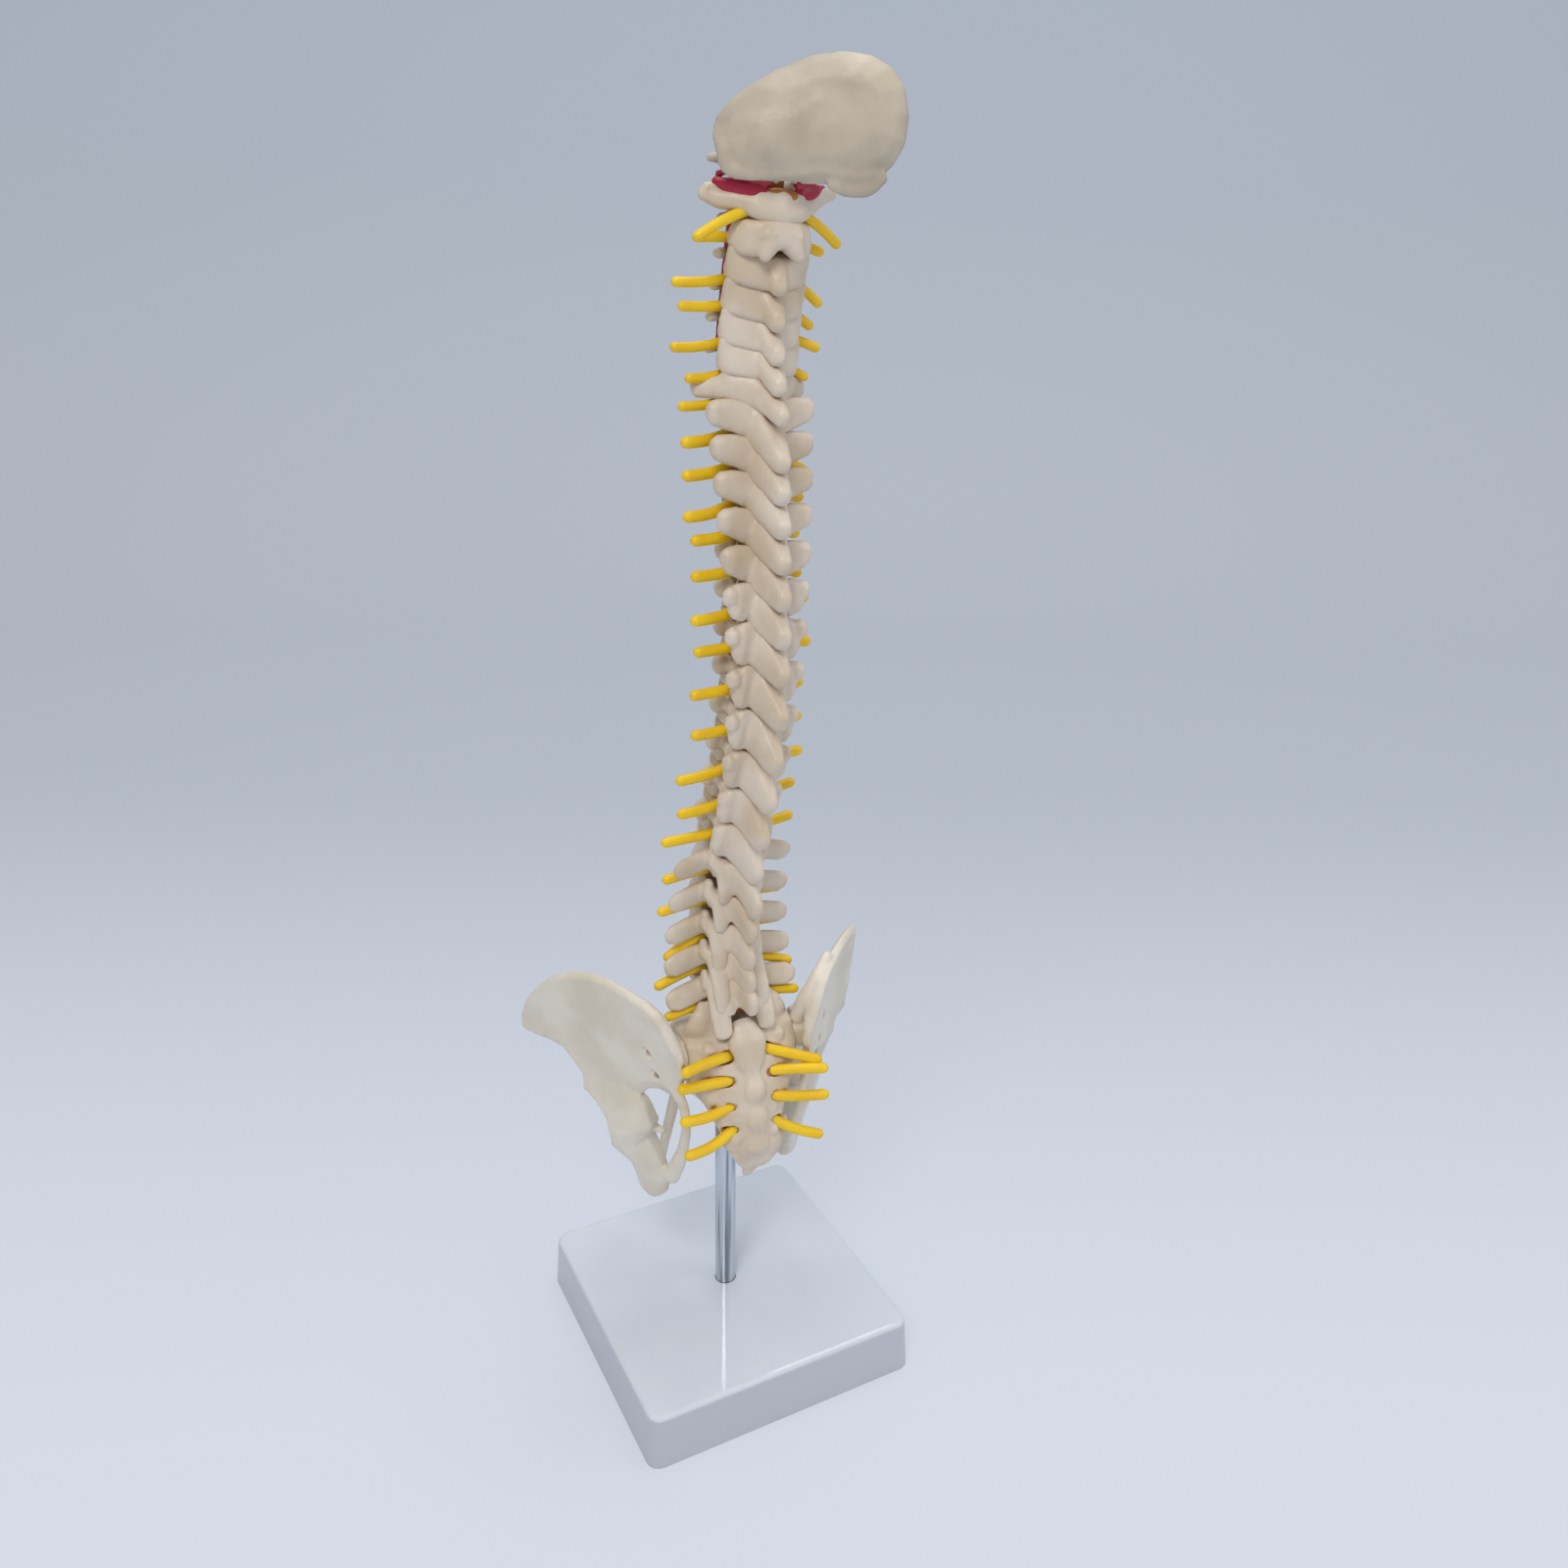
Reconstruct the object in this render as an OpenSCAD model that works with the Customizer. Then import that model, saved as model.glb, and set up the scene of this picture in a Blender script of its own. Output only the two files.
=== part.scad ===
// Half size teaching model of the human spine: occipital bone, 24 vertebrae with their discs,
// sacrum, both hip bones, spinal cord with its nerves and the arteries of the neck,
// threaded on a core wire that stands in a steel rod on a square base.
// Millimetres. The base stands on Z = 0, the back of the spine faces -Y and its left side -X.

/* [Base] */
// Side of the square base at its foot
base_side = 110; // [90:1:140]
// Height of the base
base_h = 22; // [16:1:30]
// How far each wall leans in from foot to top
base_draft = 1.2; // [0:0.1:3]
// Radius of the upright corners of the base
base_corner_r = 5; // [3:0.5:10]
// Radius of the edge round the top of the base
base_edge_r = 2; // [1:0.5:4]
// Wall of the moulded base
base_wall = 2.5; // [1.5:0.1:4]
// Width of the four ribs under the top
rib_w = 2; // [1:0.1:4]
// Diameter of the boss that holds the rod
boss_d = 20; // [16:1:30]

/* [Rod and core wire] */
// Diameter of the steel rod
rod_d = 8; // [6:0.5:10]
// Depth of the rod's seat in the top of the base
rod_seat = 4; // [2:0.5:8]
// Diameter of the threaded spigot at the rod's foot
spigot_d = 5; // [4:0.5:5.5]
// Width across the flats of the nut under the base
nut_flats = 8; // [7:0.5:12]
// Height of the nut under the base
nut_h = 4; // [3:0.5:6]
// Height of the top of the rod, inside the sacrum
rod_top = 143; // [140:1:146]
// Diameter of the core wire that the bones are threaded on
wire_d = 2.4; // [1.5:0.1:3]
// Length of the core wire that is pressed into the rod
wire_grip = 14; // [8:1:20]
// Gap round the rod and the wire in their holes
hole_gap = 0.2; // [0.1:0.05:0.4]

/* [Column] */
// Height of the top of the sacrum
sacrum_top = 148; // [146:1:156]
// Height of a bone and its disc, at C3, C7, T1, T12, L1 and L5
pitch = [8.4, 9.0, 9.6, 14.6, 14.6, 14.6];
// Thickness of a disc, at the same bones
disc_t = [1.8, 2.0, 1.8, 2.8, 3.2, 3.6];
// Width of a vertebral body, at the same bones
body_w = [10, 11.5, 12.5, 18, 19.5, 23];
// Depth of a vertebral body from front to back, at the same bones
body_d = [7.5, 8.5, 9, 14, 15, 16.5];
// Width of the spinal canal, at the same bones
canal_w = [11, 11, 9.5, 10, 11, 12];
// Depth of the spinal canal from front to back, at the same bones
canal_d = [8, 8, 8.2, 8.5, 8.5, 8.5];
// Height of the curve's foremost point in the loins, as a level of the column
lumbar_level = 21; // [20:1:22]
// How far forward of the rod the loins reach
lumbar_y = 11; // [8:0.5:13]
// How far behind the rod the chest part reaches
thoracic_y = -13; // [-16:0.5:-10]
// How far behind the rod the lower neck stands
neck_y = -11; // [-14:0.5:-8]
// How far behind the rod the top of the neck stands
atlas_y = -18; // [-22:0.5:-14]
// How far the neck leans to the right at the atlas
neck_lean = 2; // [0:0.5:8]

/* [Neural arches] */
// Height of a pedicle, at C3, C7, T1, T12, L1 and L5
pedicle_h = [2.7, 2.9, 4.1, 6.4, 6.8, 6.4];
// Thickness of a pedicle, at the same bones
pedicle_w = [2.8, 3.0, 3.0, 3.6, 3.8, 5.4];
// Height of a lamina, at the same bones
lamina_h = [7.6, 8.2, 10.8, 14, 10.5, 7.5];
// Thickness of a lamina, at the same bones
lamina_t = [2.6, 2.8, 3.2, 3.4, 3.6, 3.6];
// How far a lamina leans back at its foot, in degrees, at the same bones
lamina_lean = [26, 26, 26, 18, 16, 18];
// Length of a spinous process behind its lamina, at the same bones
spine_l = [7.5, 17, 18.5, 15, 18, 13.5];
// How far a spinous process slopes down, in degrees, at the same bones
spine_slope = [24, 26, 38, 26, 16, 18];
// Width of a spinous process, at the same bones
spine_w = [5, 5.2, 6.2, 5.8, 4.8, 4.8];
// Height of a spinous process, at the same bones
spine_h = [4.8, 5.0, 6.6, 9.6, 8.8, 6.6];
// Distance from the middle to the tip of a transverse process, at the same bones
reach = [14.3, 15.2, 17.2, 10.5, 21.5, 25];
// The same distance at C7 alone
c7_reach = 18.5; // [14:0.5:20]
// Gap between the bones where they slide on each other
facet_gap = 0.4; // [0.2:0.05:0.8]

/* [Nerves and arteries] */
// Thickness of the spinal cord
cord_d = 5; // [4:0.1:5.5]
// Diameter of a nerve of the neck
neck_nerve_d = 2.9; // [2:0.1:3.1]
// Diameter of a nerve of the chest and loins
nerve_d = 3.6; // [2.5:0.1:3.8]
// Distance from the middle to the tip of a nerve of the left side, at C3, C7, T1, T12, L1 and L5
nerve_reach_left = [25, 24, 22.5, 22.5, 25.5, 28];
// The same distances on the right side
nerve_reach_right = [21, 20.5, 17.5, 17.5, 22, 26.5];
// How far a nerve leaves above the middle of its disc, as a share of the bone's height
nerve_up = [0.09, 0.12, 0.19, 0.25, 0.24, 0.22];
// How far a nerve of the left side slopes down, in degrees, at the same places
nerve_slope_left = [6, 5, -1, 9, 12, 8];
// The same slopes on the right side
nerve_slope_right = [7, 7, 3, 6, 10, 3];
// The same slope of the uppermost nerve
top_nerve_slope = 11; // [0:1:24]
// Diameter of a sacral nerve
sacral_nerve_d = 4; // [3:0.1:4.4]
// Length of a sacral nerve
sacral_nerve_l = 23.5; // [16:0.5:30]
// How far the four sacral nerves of the left side slope down, in degrees
sacral_slope_left = [-4, -12, -3, 9];
// The same slopes on the right side
sacral_slope_right = [18, 1, 4, 26];
// How far the four sacral nerves of the left side point back, in degrees
sacral_turn_left = [20, 9, 9, 12];
// The same turns on the right side
sacral_turn_right = [20, 20, 20, 20];
// Diameter of a vertebral artery
artery_d = 2; // [1.5:0.1:2.2]

/* [Pelvis] */
// Width of the sacrum across its wings
sacrum_w = 50; // [44:1:54]
// Depth of the joint faces between sacrum and hip bones: their distance from the middle
joint_x = 21.5; // [19:0.5:24]
// Width of the pad between the two pubic bones
symphysis_w = 2.6; // [1.5:0.1:4]
// Diameter of the hip sockets
socket_d = 25; // [20:0.5:28]

/* [Fineness] */
// Sides round a vertebral body
body_sides = 12; // [8:2:20]
// Sides round a process or an arch
limb_sides = 6; // [6:2:10]
// Sides round the cord and the arteries
tube_sides = 8; // [6:2:12]

/* [Hidden] */
$fn = 48;
NECK = [for (i = [1:7]) str("vertebra_c", i)];
CHEST = [for (i = [1:12]) str("vertebra_t", i)];
LOINS = [for (i = [1:5]) str("vertebra_l", i)];
BONES = concat(NECK, CHEST, LOINS);
SHORT = [for (b = BONES) chr([for (c = [9:len(b) - 1]) ord(b[c])])];
DISCS = [for (k = [1:23]) str("disc_", SHORT[k], "_", k < 23 ? SHORT[k + 1] : "s1")];

bone_colour = [0.91, 0.88, 0.80];
disc_colour = [0.85, 0.83, 0.76];
nerve_colour = [0.93, 0.74, 0.06];
artery_colour = [0.76, 0.10, 0.20];

// Working values
axis_h = 8.6;
axis_to_atlas = 8.2;
L5 = len(BONES) - 1;
base_top = base_h;

// Plain helpers
function mix(a, b, t) = a + (b - a) * t;
function unit(v) = v / norm(v);
function clamp01(t) = max(0, min(1, t));
function ease(t) = (1 - cos(180 * clamp01(t))) / 2;
function signed_pow(v, p) = (v < 0 ? -1 : 1) * pow(abs(v), p);

// Size at vertebra k of a row of sizes given at C3, C7, T1, T12, L1 and L5
function along(sizes, k) =
    k < 7 ? mix(sizes[0], sizes[1], max(0, k - 2) / 4)
    : k < 19 ? mix(sizes[2], sizes[3], (k - 7) / 11)
    : mix(sizes[4], sizes[5], (k - 19) / 4);

// Height of the disc under vertebra k
function disc_z(k) = k >= L5 ? sacrum_top : disc_z(k + 1) + along(pitch, k + 1);

// The curve of the column seen from the side: heights and depths where it turns
CURVE = [
    [85, -24],
    [disc_z(lumbar_level), lumbar_y],
    [disc_z(13), thoracic_y],
    [disc_z(5), neck_y],
    [disc_z(1) + axis_h + axis_to_atlas + 6, atlas_y]
];
function bend(z, i) = mix(CURVE[i][1], CURVE[i + 1][1], ease((z - CURVE[i][0]) / (CURVE[i + 1][0] - CURVE[i][0])));
function depth_at(z) = z < CURVE[1][0] ? bend(z, 0) : z < CURVE[2][0] ? bend(z, 1) : z < CURVE[3][0] ? bend(z, 2) : bend(z, 3);
function lean_at(z) = neck_lean * ease((z - disc_z(7)) / (disc_z(1) + axis_h + axis_to_atlas - disc_z(7)));
function line_at(z) = [lean_at(z), depth_at(z), z];
function run_at(z) = unit(line_at(z + 0.5) - line_at(z - 0.5));

// A frame is a place and its two turns: about X and then about Y
function frame_at(z) = let(t = run_at(z)) [line_at(z), -asin(t[1]), atan2(t[0], t[2])];
function frame_between(p, q) = let(t = unit(q - p)) [(p + q) / 2, -asin(t[1]), atan2(t[0], t[2])];
function put(f, p) =
    let(y = p[1] * cos(f[1]) - p[2] * sin(f[1]), z = p[1] * sin(f[1]) + p[2] * cos(f[1]))
    f[0] + [p[0] * cos(f[2]) + z * sin(f[2]), y, -p[0] * sin(f[2]) + z * cos(f[2])];
module at_frame(f) { translate(f[0]) rotate([f[1], f[2], 0]) children(); }

function disc_frame(k) = frame_at(disc_z(k));
function disc_mid(k) = line_at(disc_z(k));
function axis_top() = put(disc_frame(1), [0, 0, axis_h + disc_t[0] / 2]);
function bone_top(k) = k == 1 ? axis_top() : disc_mid(k - 1);
function bone_frame(k) =
    k == 0 ? let(f = bone_frame(1)) [put(f, [0, 0, axis_to_atlas]), f[1], f[2]]
    : frame_between(disc_mid(k), bone_top(k));
function bone_h(k) = norm(bone_top(k) - disc_mid(k)) - (k == 1 ? disc_t[0] / 2 : along(disc_t, k));
function back_of_body(k) = -0.42 * along(body_d, k);
function canal_y(k) = back_of_body(k) - along(canal_d, k) / 2;
function lamina_y(k) = back_of_body(k) - along(canal_d, k) - along(lamina_t, k) / 2;
function arch_x(k) = (along(canal_w, k) + along(pedicle_w, k)) / 2;
function neck_spread(k) = k < 6 ? 2.4 : 1.2;

// Closed skin over rings that run anticlockwise about the way from the first to the last
module skin(rings) {
    n = len(rings[0]);
    last = len(rings) - 1;
    sides = [for (i = [0:last - 1], j = [0:n - 1])
        let(a = i * n + j, b = i * n + (j + 1) % n, c = b + n, d = a + n) each [[a, d, c], [a, c, b]]];
    foot = [[for (j = [0:n - 1]) j]];
    head = [[for (j = [n - 1:-1:0]) last * n + j]];
    polyhedron([for (r = rings) each r], concat(foot, sides, head), convexity = 6);
}

// Rounded limb through stations of [point, half width, half height, upward direction]
function limb_rings(s, n) = [for (i = [0:len(s) - 1])
    let(run = unit(s[min(i + 1, len(s) - 1)][0] - s[max(i - 1, 0)][0]),
        side = unit(cross(s[i][3], run)), lift = cross(run, side))
    [for (j = [0:n - 1]) let(t = 360 * (j + 0.5) / n) s[i][0] + side * s[i][1] * cos(t) + lift * s[i][2] * sin(t)]];
module limb(s, n = limb_sides) { skin(limb_rings(s, n)); }
module pair() { children(); mirror([1, 0, 0]) children(); }

// Round tube through points
module tube(points, d, n = tube_sides) { limb([for (p = points) [p, d / 2, d / 2, [0, 0.9, 0.1]]], n); }

// Outline of a vertebral body: round in front, flat and a little hollow behind
function body_outline(w, d) = [for (j = [0:body_sides - 1])
    let(t = 360 * (j + 0.5) / body_sides, c = cos(t), s = sin(t))
    [w / 2 * signed_pow(c, 0.85), s > 0 ? d / 2 * s : 0.42 * d * signed_pow(s, 0.35)]];

// Body of vertebra k, waisted between the faces of the discs above and below
waist = 0.86;
module body_of(k) {
    w = along(body_w, k);
    d = along(body_d, k);
    half_disc = along(disc_t, k) / 2;
    low = disc_frame(k);
    high = k == 1 ? [axis_top(), low[1], low[2]] : disc_frame(k - 1);
    top_gap = k == 1 ? 0 : along(disc_t, k - 1) / 2;
    foot = [for (p = body_outline(w, d)) put(low, [p[0], p[1], half_disc])];
    head = [for (p = body_outline(w * (k == 1 ? 0.8 : 1), d)) put(high, [p[0], p[1], -top_gap])];
    middle = (low[0] + high[0]) / 2;
    pull = [0, 1 - waist, 1 - waist, 0];
    skin([for (i = [0:3]) [for (j = [0:body_sides - 1])
        let(p = mix(foot[j], head[j], [0, 0.3, 0.7, 1][i]), axis_p = mix(low[0], high[0], [0, 0.3, 0.7, 1][i]))
        mix(p, axis_p, pull[i])]]);
}

// Hole for the core wire through vertebra k
module wire_hole(k) {
    f = k == 1 ? frame_between(disc_mid(1), axis_top()) : frame_between(disc_mid(k), disc_mid(k - 1));
    at_frame(f) cylinder(h = k == 1 ? 40 : 3 * along(pitch, k), d = wire_d + 2 * hole_gap, center = true);
}

// Pedicles and laminae of vertebra k, round the back of the canal
module arch_of(k) {
    x = arch_x(k);
    yb = back_of_body(k);
    yl = lamina_y(k);
    ph = along(pedicle_h, k) / 2;
    pw = along(pedicle_w, k) / 2;
    lt = along(lamina_t, k) / 2;
    lh = along(lamina_h, k) / 2;
    lean = along(lamina_lean, k);
    zp = 0.16 * bone_h(k);
    zl = zp + ph - lh * 0.94;
    up = [0, sin(lean), cos(lean)];
    xf = min(x, 0.36 * along(body_w, k));
    xl = x + (k < 7 ? neck_spread(k) + 0.9 : k < 19 ? 1.3 : 0);
    yr = k < 7 ? 1.4 : k < 19 ? 2.7 : 2.2;
    xm = 0.5 * x;
    limb([
        [[-xf, yb + 2.2, zp], pw, ph, [0, 0, 1]],
        [[-x, canal_y(k) + 0.8, zp], pw, ph, [0, 0, 1]],
        [[-xl, yl + yr, mix(zp, zl, 0.6)], lt, mix(ph, lh, k < 7 ? 0.9 : 0.7), up],
        [[-xm, yl + 0.2, zl], lt * 1.1, lh, up],
        [[xm, yl + 0.2, zl], lt * 1.1, lh, up],
        [[xl, yl + yr, mix(zp, zl, 0.6)], lt, mix(ph, lh, k < 7 ? 0.9 : 0.7), up],
        [[x, canal_y(k) + 0.8, zp], pw, ph, [0, 0, 1]],
        [[xf, yb + 2.2, zp], pw, ph, [0, 0, 1]]
    ]);
}

// Spinous process of vertebra k
module spine_of(k) {
    l = along(spine_l, k);
    a = along(spine_slope, k);
    w = along(spine_w, k) / 2;
    h = along(spine_h, k) / 2;
    zp = 0.16 * bone_h(k);
    root = [0, lamina_y(k), zp + along(pedicle_h, k) / 2 - along(lamina_h, k) * 0.5];
    back = [0, -cos(a), -sin(a)];
    wide = k < 19 ? 1 : 0.72;
    tall = k < 7 ? 1.3 : 1.06;
    limb([
        [root, w * 2.3 * wide, h * tall, [0, 0, 1]],
        [root + back * l * 0.35, w * 1.6 * wide, h * mix(1, tall, 0.7), [0, 0, 1]],
        [root + back * l * 0.82, w * 1.05, h, [0, 0, 1]],
        [root + back * l * 0.95, w * 0.8, h * 0.78, [0, 0, 1]],
        [root + back * l, w * 0.42, h * 0.4, [0, 0, 1]]
    ]);
}

// Facet pillar of a neck vertebra, on the left
module pillar_of(k) {
    x = arch_x(k) + neck_spread(k) + 0.6;
    y = canal_y(k) - 2.2;
    half = along(pitch, k) / 2 - facet_gap / 2 - 0.55;
    limb([
        [[-x, y + 0.2, -half], 3.0, 2.2, [0, 1, 0]],
        [[-x, y - 0.2, 0], 3.4, 2.4, [0, 1, 0]],
        [[-x, y - 0.5, half], 3.0, 2.2, [0, 1, 0]]
    ]);
}

// Transverse process of a neck vertebra with the ring for the artery, on the left
artery_x = 8.6;
artery_y = -0.6;
module neck_process(k) {
    x = k == 6 ? c7_reach : along(reach, k);
    droop = k == 6 ? 1.6 : 0;
    z = 0.1 * bone_h(k);
    limb([
        [[-artery_x + 3.5, artery_y - 0.6, z], 2.6, 1.5, [0, 0, 1]],
        [[-artery_x - 0.5, artery_y - 1.2, z - 0.3], 2.8, 1.5, [0, 0, 1]],
        [[-x + 1.5, artery_y - 3.2, z - 0.6 - droop], 1.9, 1.7 + 0.2 * droop, [0, 0, 1]],
        [[-x, artery_y - 3.6, z - 0.7 - droop], 1.0, 0.9 + 0.2 * droop, [0, 0, 1]]
    ]);
}
module artery_hole(k) {
    translate([-artery_x, artery_y, 0]) cylinder(h = 2 * along(pitch, k), d = artery_d + 2 * hole_gap, center = true);
}

// Transverse process of a chest vertebra, with its knob, on the left
module chest_process(k) {
    r = along(reach, k);
    x = arch_x(k);
    y = canal_y(k) - 2.2;
    z = 0.16 * bone_h(k);
    back = 3 + 3.4 * sin(180 * (k - 7) / 11);
    size = mix(3.0, 2.6, (k - 7) / 11);
    limb([
        [[-x + 0.5, y + 1, z + 0.2], 2.2, 3.0, [0, 0, 1]],
        [[-mix(x, r, 0.4), y - back * 0.5, z + 0.3], size * 0.9, size * 1.2, [0, 0, 1]],
        [[-mix(x, r, 0.82), y - back * 0.9, z + 0.4], size, size * 1.2, [0, 0, 1]],
        [[-r, y - back, z + 0.4], size * 0.62, size * 0.75, [0, 0, 1]]
    ]);
}

// Transverse process of a loin vertebra, flat and long, on the left
module loin_process(k) {
    r = along(reach, k);
    x = arch_x(k);
    y = canal_y(k) + 1.2;
    z = 0.1 * bone_h(k);
    limb([
        [[-x + 0.5, y, z + 0.8], 2.4, 3.4, [0, 0, 1]],
        [[-mix(x, r, 0.4), y - 0.8, z + 0.5], 1.8, 3.8, [0, 0, 1]],
        [[-mix(x, r, 0.8), y - 1.8, z - 0.1], 1.8, 3.5, [0, 0, 1]],
        [[-r, y - 2.2, z - 0.4], 1.0, 2.1, [0, 0, 1]]
    ]);
}

// Upper facet of a chest or loin vertebra, on the left
module upper_facet(k, x, y, top, w, t) {
    zp = 0.16 * bone_h(k);
    limb([
        [[-x, y + 0.4, zp], w, t * 1.2, [0, 1, 0]],
        [[-x, y, mix(zp, top, 0.6)], w, t, [0, 1, 0]],
        [[-x, y, top], w * 0.6, t * 0.6, [0, 1, 0]]
    ]);
}

// Lower facet of a loin vertebra, on the left
module lower_facet(k, x, y, foot, w, t) {
    limb([
        [[-x, y, foot], w * 0.5, t * 0.6, [0, 1, 0]],
        [[-x * 0.97, y + 0.3, foot + 2.2], w, t, [0, 1, 0]],
        [[-x * 0.88, y + 1.2, 0.5], w * 1.3, t, [0, 1, 0]]
    ]);
}

module neck_vertebra(k) {
    difference() {
        union() {
            body_of(k);
            at_frame(bone_frame(k)) {
                arch_of(k);
                spine_of(k);
                pair() pillar_of(k);
                pair() neck_process(k);
            }
        }
        wire_hole(k);
        if (k < 6) at_frame(bone_frame(k)) pair() artery_hole(k);
    }
}

module chest_vertebra(k) {
    top = bone_h(k) / 2 + (k == 7 ? -0.04 : 0.14) * along(pitch, k);
    difference() {
        union() {
            body_of(k);
            at_frame(bone_frame(k)) {
                arch_of(k);
                spine_of(k);
                pair() chest_process(k);
                pair() upper_facet(k, arch_x(k) * 0.92, canal_y(k) - 1.6, top, 1.9, 1.1);
            }
        }
        wire_hole(k);
    }
}

module loin_vertebra(k) {
    yl = lamina_y(k);
    top = bone_h(k) / 2 + 0.16 * along(pitch, k);
    foot = -bone_h(k) / 2 - 0.65 * along(disc_t, k);
    difference() {
        union() {
            body_of(k);
            at_frame(bone_frame(k)) {
                arch_of(k);
                spine_of(k);
                pair() loin_process(k);
                pair() upper_facet(k, arch_x(k) + 1.2, canal_y(k) - 2.2, top, 2.2, 2.6);
                pair() lower_facet(k, arch_x(k) * 0.62, yl - 2.2 - 0.3 * (k - 19), foot, 3.0, 1.5);
            }
        }
        wire_hole(k);
    }
}

// Atlas: a ring with no body, round the peg of the axis
dens_d = 5.6;
dens_y = 0;
module atlas() {
    arch_y = -14.5;
    difference() {
        at_frame(bone_frame(0)) union() {
            pair() limb([
                [[-0.2, dens_y + dens_d / 2 + 1.9, 0], 1.4, 1.9, [0, 0, 1]],
                [[-4.6, dens_y + dens_d / 2 + 1.1, 0], 1.2, 1.7, [0, 0, 1]],
                [[-8.4, 0.8, 0], 2.6, 2.6, [0, 0, 1]],
                [[-9.4, -3.0, 0], 3.4, 3.0, [0, 0, 1]],
                [[-9.4, -7.8, -0.4], 1.9, 1.9, [0, 0, 1]],
                [[-6.4, -12.4, -0.8], 1.5, 2.4, [0, 0, 1]],
                [[0.2, arch_y, -1.2], 1.7, 2.9, [0, 0, 1]]
            ]);
            pair() limb([
                [[-9, -2.8, 0], 3.4, 2.0, [0, 0, 1]],
                [[-15, -4.0, -0.1], 3.0, 1.9, [0, 0, 1]],
                [[-20, -5.6, -0.4], 1.5, 1.4, [0, 0, 1]]
            ]);
        }
        at_frame(bone_frame(0)) pair() translate([-14.6, -3.2, 0])
            cylinder(h = 12, d = artery_d + 2 * hole_gap, center = true);
    }
}

// Axis: the second neck bone, with the peg that the atlas turns about
module axis_bone() {
    f = bone_frame(1);
    peg_foot = bone_h(1) / 2 - 1;
    yl = lamina_y(1) - 0.5;
    difference() {
        union() {
            body_of(1);
            at_frame(f) {
                translate([0, 0, -1.8]) arch_of(1);
                translate([0, dens_y, peg_foot]) cylinder(h = 8.6, d = dens_d);
                translate([0, dens_y, peg_foot + 8.6]) sphere(d = dens_d);
                pair() limb([
                    [[-8.2, canal_y(1) - 2.5, -bone_h(1) / 2 + 0.2], 2.6, 2.3, [0, 1, 0]],
                    [[-8.4, -6.9, 1.0], 3.0, 2.4, [0, 1, 0]],
                    [[-8.8, -4.3, axis_to_atlas - 3.8], 3.2, 2.1, [0, 1, 0]]
                ]);
                pair() neck_process(1);
                pair() limb([
                    [[-1.4, yl + 0.8, -0.3], 4.4, 3.7, [0, 0, 1]],
                    [[-3.0, yl - 1.6, -1.0], 4.2, 3.6, [0, 0, 1]],
                    [[-4.6, yl - 3.8, -2.1], 3.2, 3.0, [0, 0, 1]],
                    [[-5.2, yl - 4.8, -2.9], 1.8, 1.7, [0, 0, 1]]
                ]);
            }
        }
        wire_hole(1);
        at_frame(f) pair() artery_hole(1);
    }
}

module vertebra(k) {
    color(bone_colour)
    if (k == 0) atlas();
    else if (k == 1) axis_bone();
    else if (k < 7) neck_vertebra(k);
    else if (k < 19) chest_vertebra(k);
    else loin_vertebra(k);
}

// Disc under vertebra k, holed for the core wire
module disc(k) {
    t = along(disc_t, k);
    color(disc_colour) at_frame(disc_frame(k)) difference() {
        linear_extrude(t, center = true) polygon(body_outline(along(body_w, k), along(body_d, k)));
        cylinder(h = 2 * t, d = wire_d + 2 * hole_gap, center = true);
    }
}

// Square with round corners, as a ring of points at height z
corner_steps = 4;
function square_ring(half, r, z) = [for (q = [0:3], s = [0:corner_steps])
    let(t = 90 * q + 90 * s / corner_steps, cx = [1, -1, -1, 1][q], cy = [1, 1, -1, -1][q])
    [cx * (half - r) + r * cos(t), cy * (half - r) + r * sin(t), z]];

// Moulded base: a shell open underneath, with a boss on four ribs under the rod
module base_plate() {
    half = base_side / 2;
    lean = function(z) base_draft * z / base_h;
    rim = base_h - base_edge_r;
    steps = 4;
    inner = half - base_draft - base_wall;
    boss_foot = nut_h + 3;
    color([0.80, 0.83, 0.87]) difference() {
        skin(concat(
            [square_ring(half, base_corner_r, 0), square_ring(half - lean(rim), base_corner_r, rim)],
            [for (i = [1:steps]) let(t = 90 * i / steps, in = base_edge_r * (1 - cos(t)))
                square_ring(half - lean(rim) - in, base_corner_r - in * 0.6, rim + base_edge_r * sin(t))]));
        difference() {
            translate([0, 0, -1]) linear_extrude(base_h - base_wall + 1)
                polygon([for (p = square_ring(inner, base_corner_r, 0)) [p[0], p[1]]]);
            translate([0, 0, boss_foot]) cylinder(h = base_h, d = boss_d);
            for (a = [0, 90]) rotate([0, 0, a])
                translate([-base_side, -rib_w / 2, boss_foot]) cube([2 * base_side, rib_w, base_h]);
        }
        translate([0, 0, base_top - rod_seat]) cylinder(h = rod_seat + 1, d = rod_d + 2 * hole_gap);
        cylinder(h = base_h, d = spigot_d + 2 * hole_gap);
    }
}

// Steel rod: a spigot through the base, a shoulder on its seat and a socket for the core wire
module stand_rod() {
    spigot_foot = 2;
    color([0.72, 0.75, 0.78]) difference() {
        union() {
            translate([0, 0, base_top - rod_seat]) cylinder(h = rod_top - base_top + rod_seat, d = rod_d);
            translate([0, 0, spigot_foot]) cylinder(h = base_top - spigot_foot, d = spigot_d);
        }
        translate([0, 0, rod_top - wire_grip]) cylinder(h = wire_grip + 1, d = wire_d + 2 * hole_gap);
    }
}

// Hexagon nut on the spigot, tight under the boss
module base_nut() {
    color([0.72, 0.75, 0.78]) translate([0, 0, 3]) difference() {
        cylinder(h = nut_h, d = nut_flats / cos(30), $fn = 6);
        translate([0, 0, -1]) cylinder(h = nut_h + 2, d = spigot_d + 2 * hole_gap);
    }
}

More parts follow.
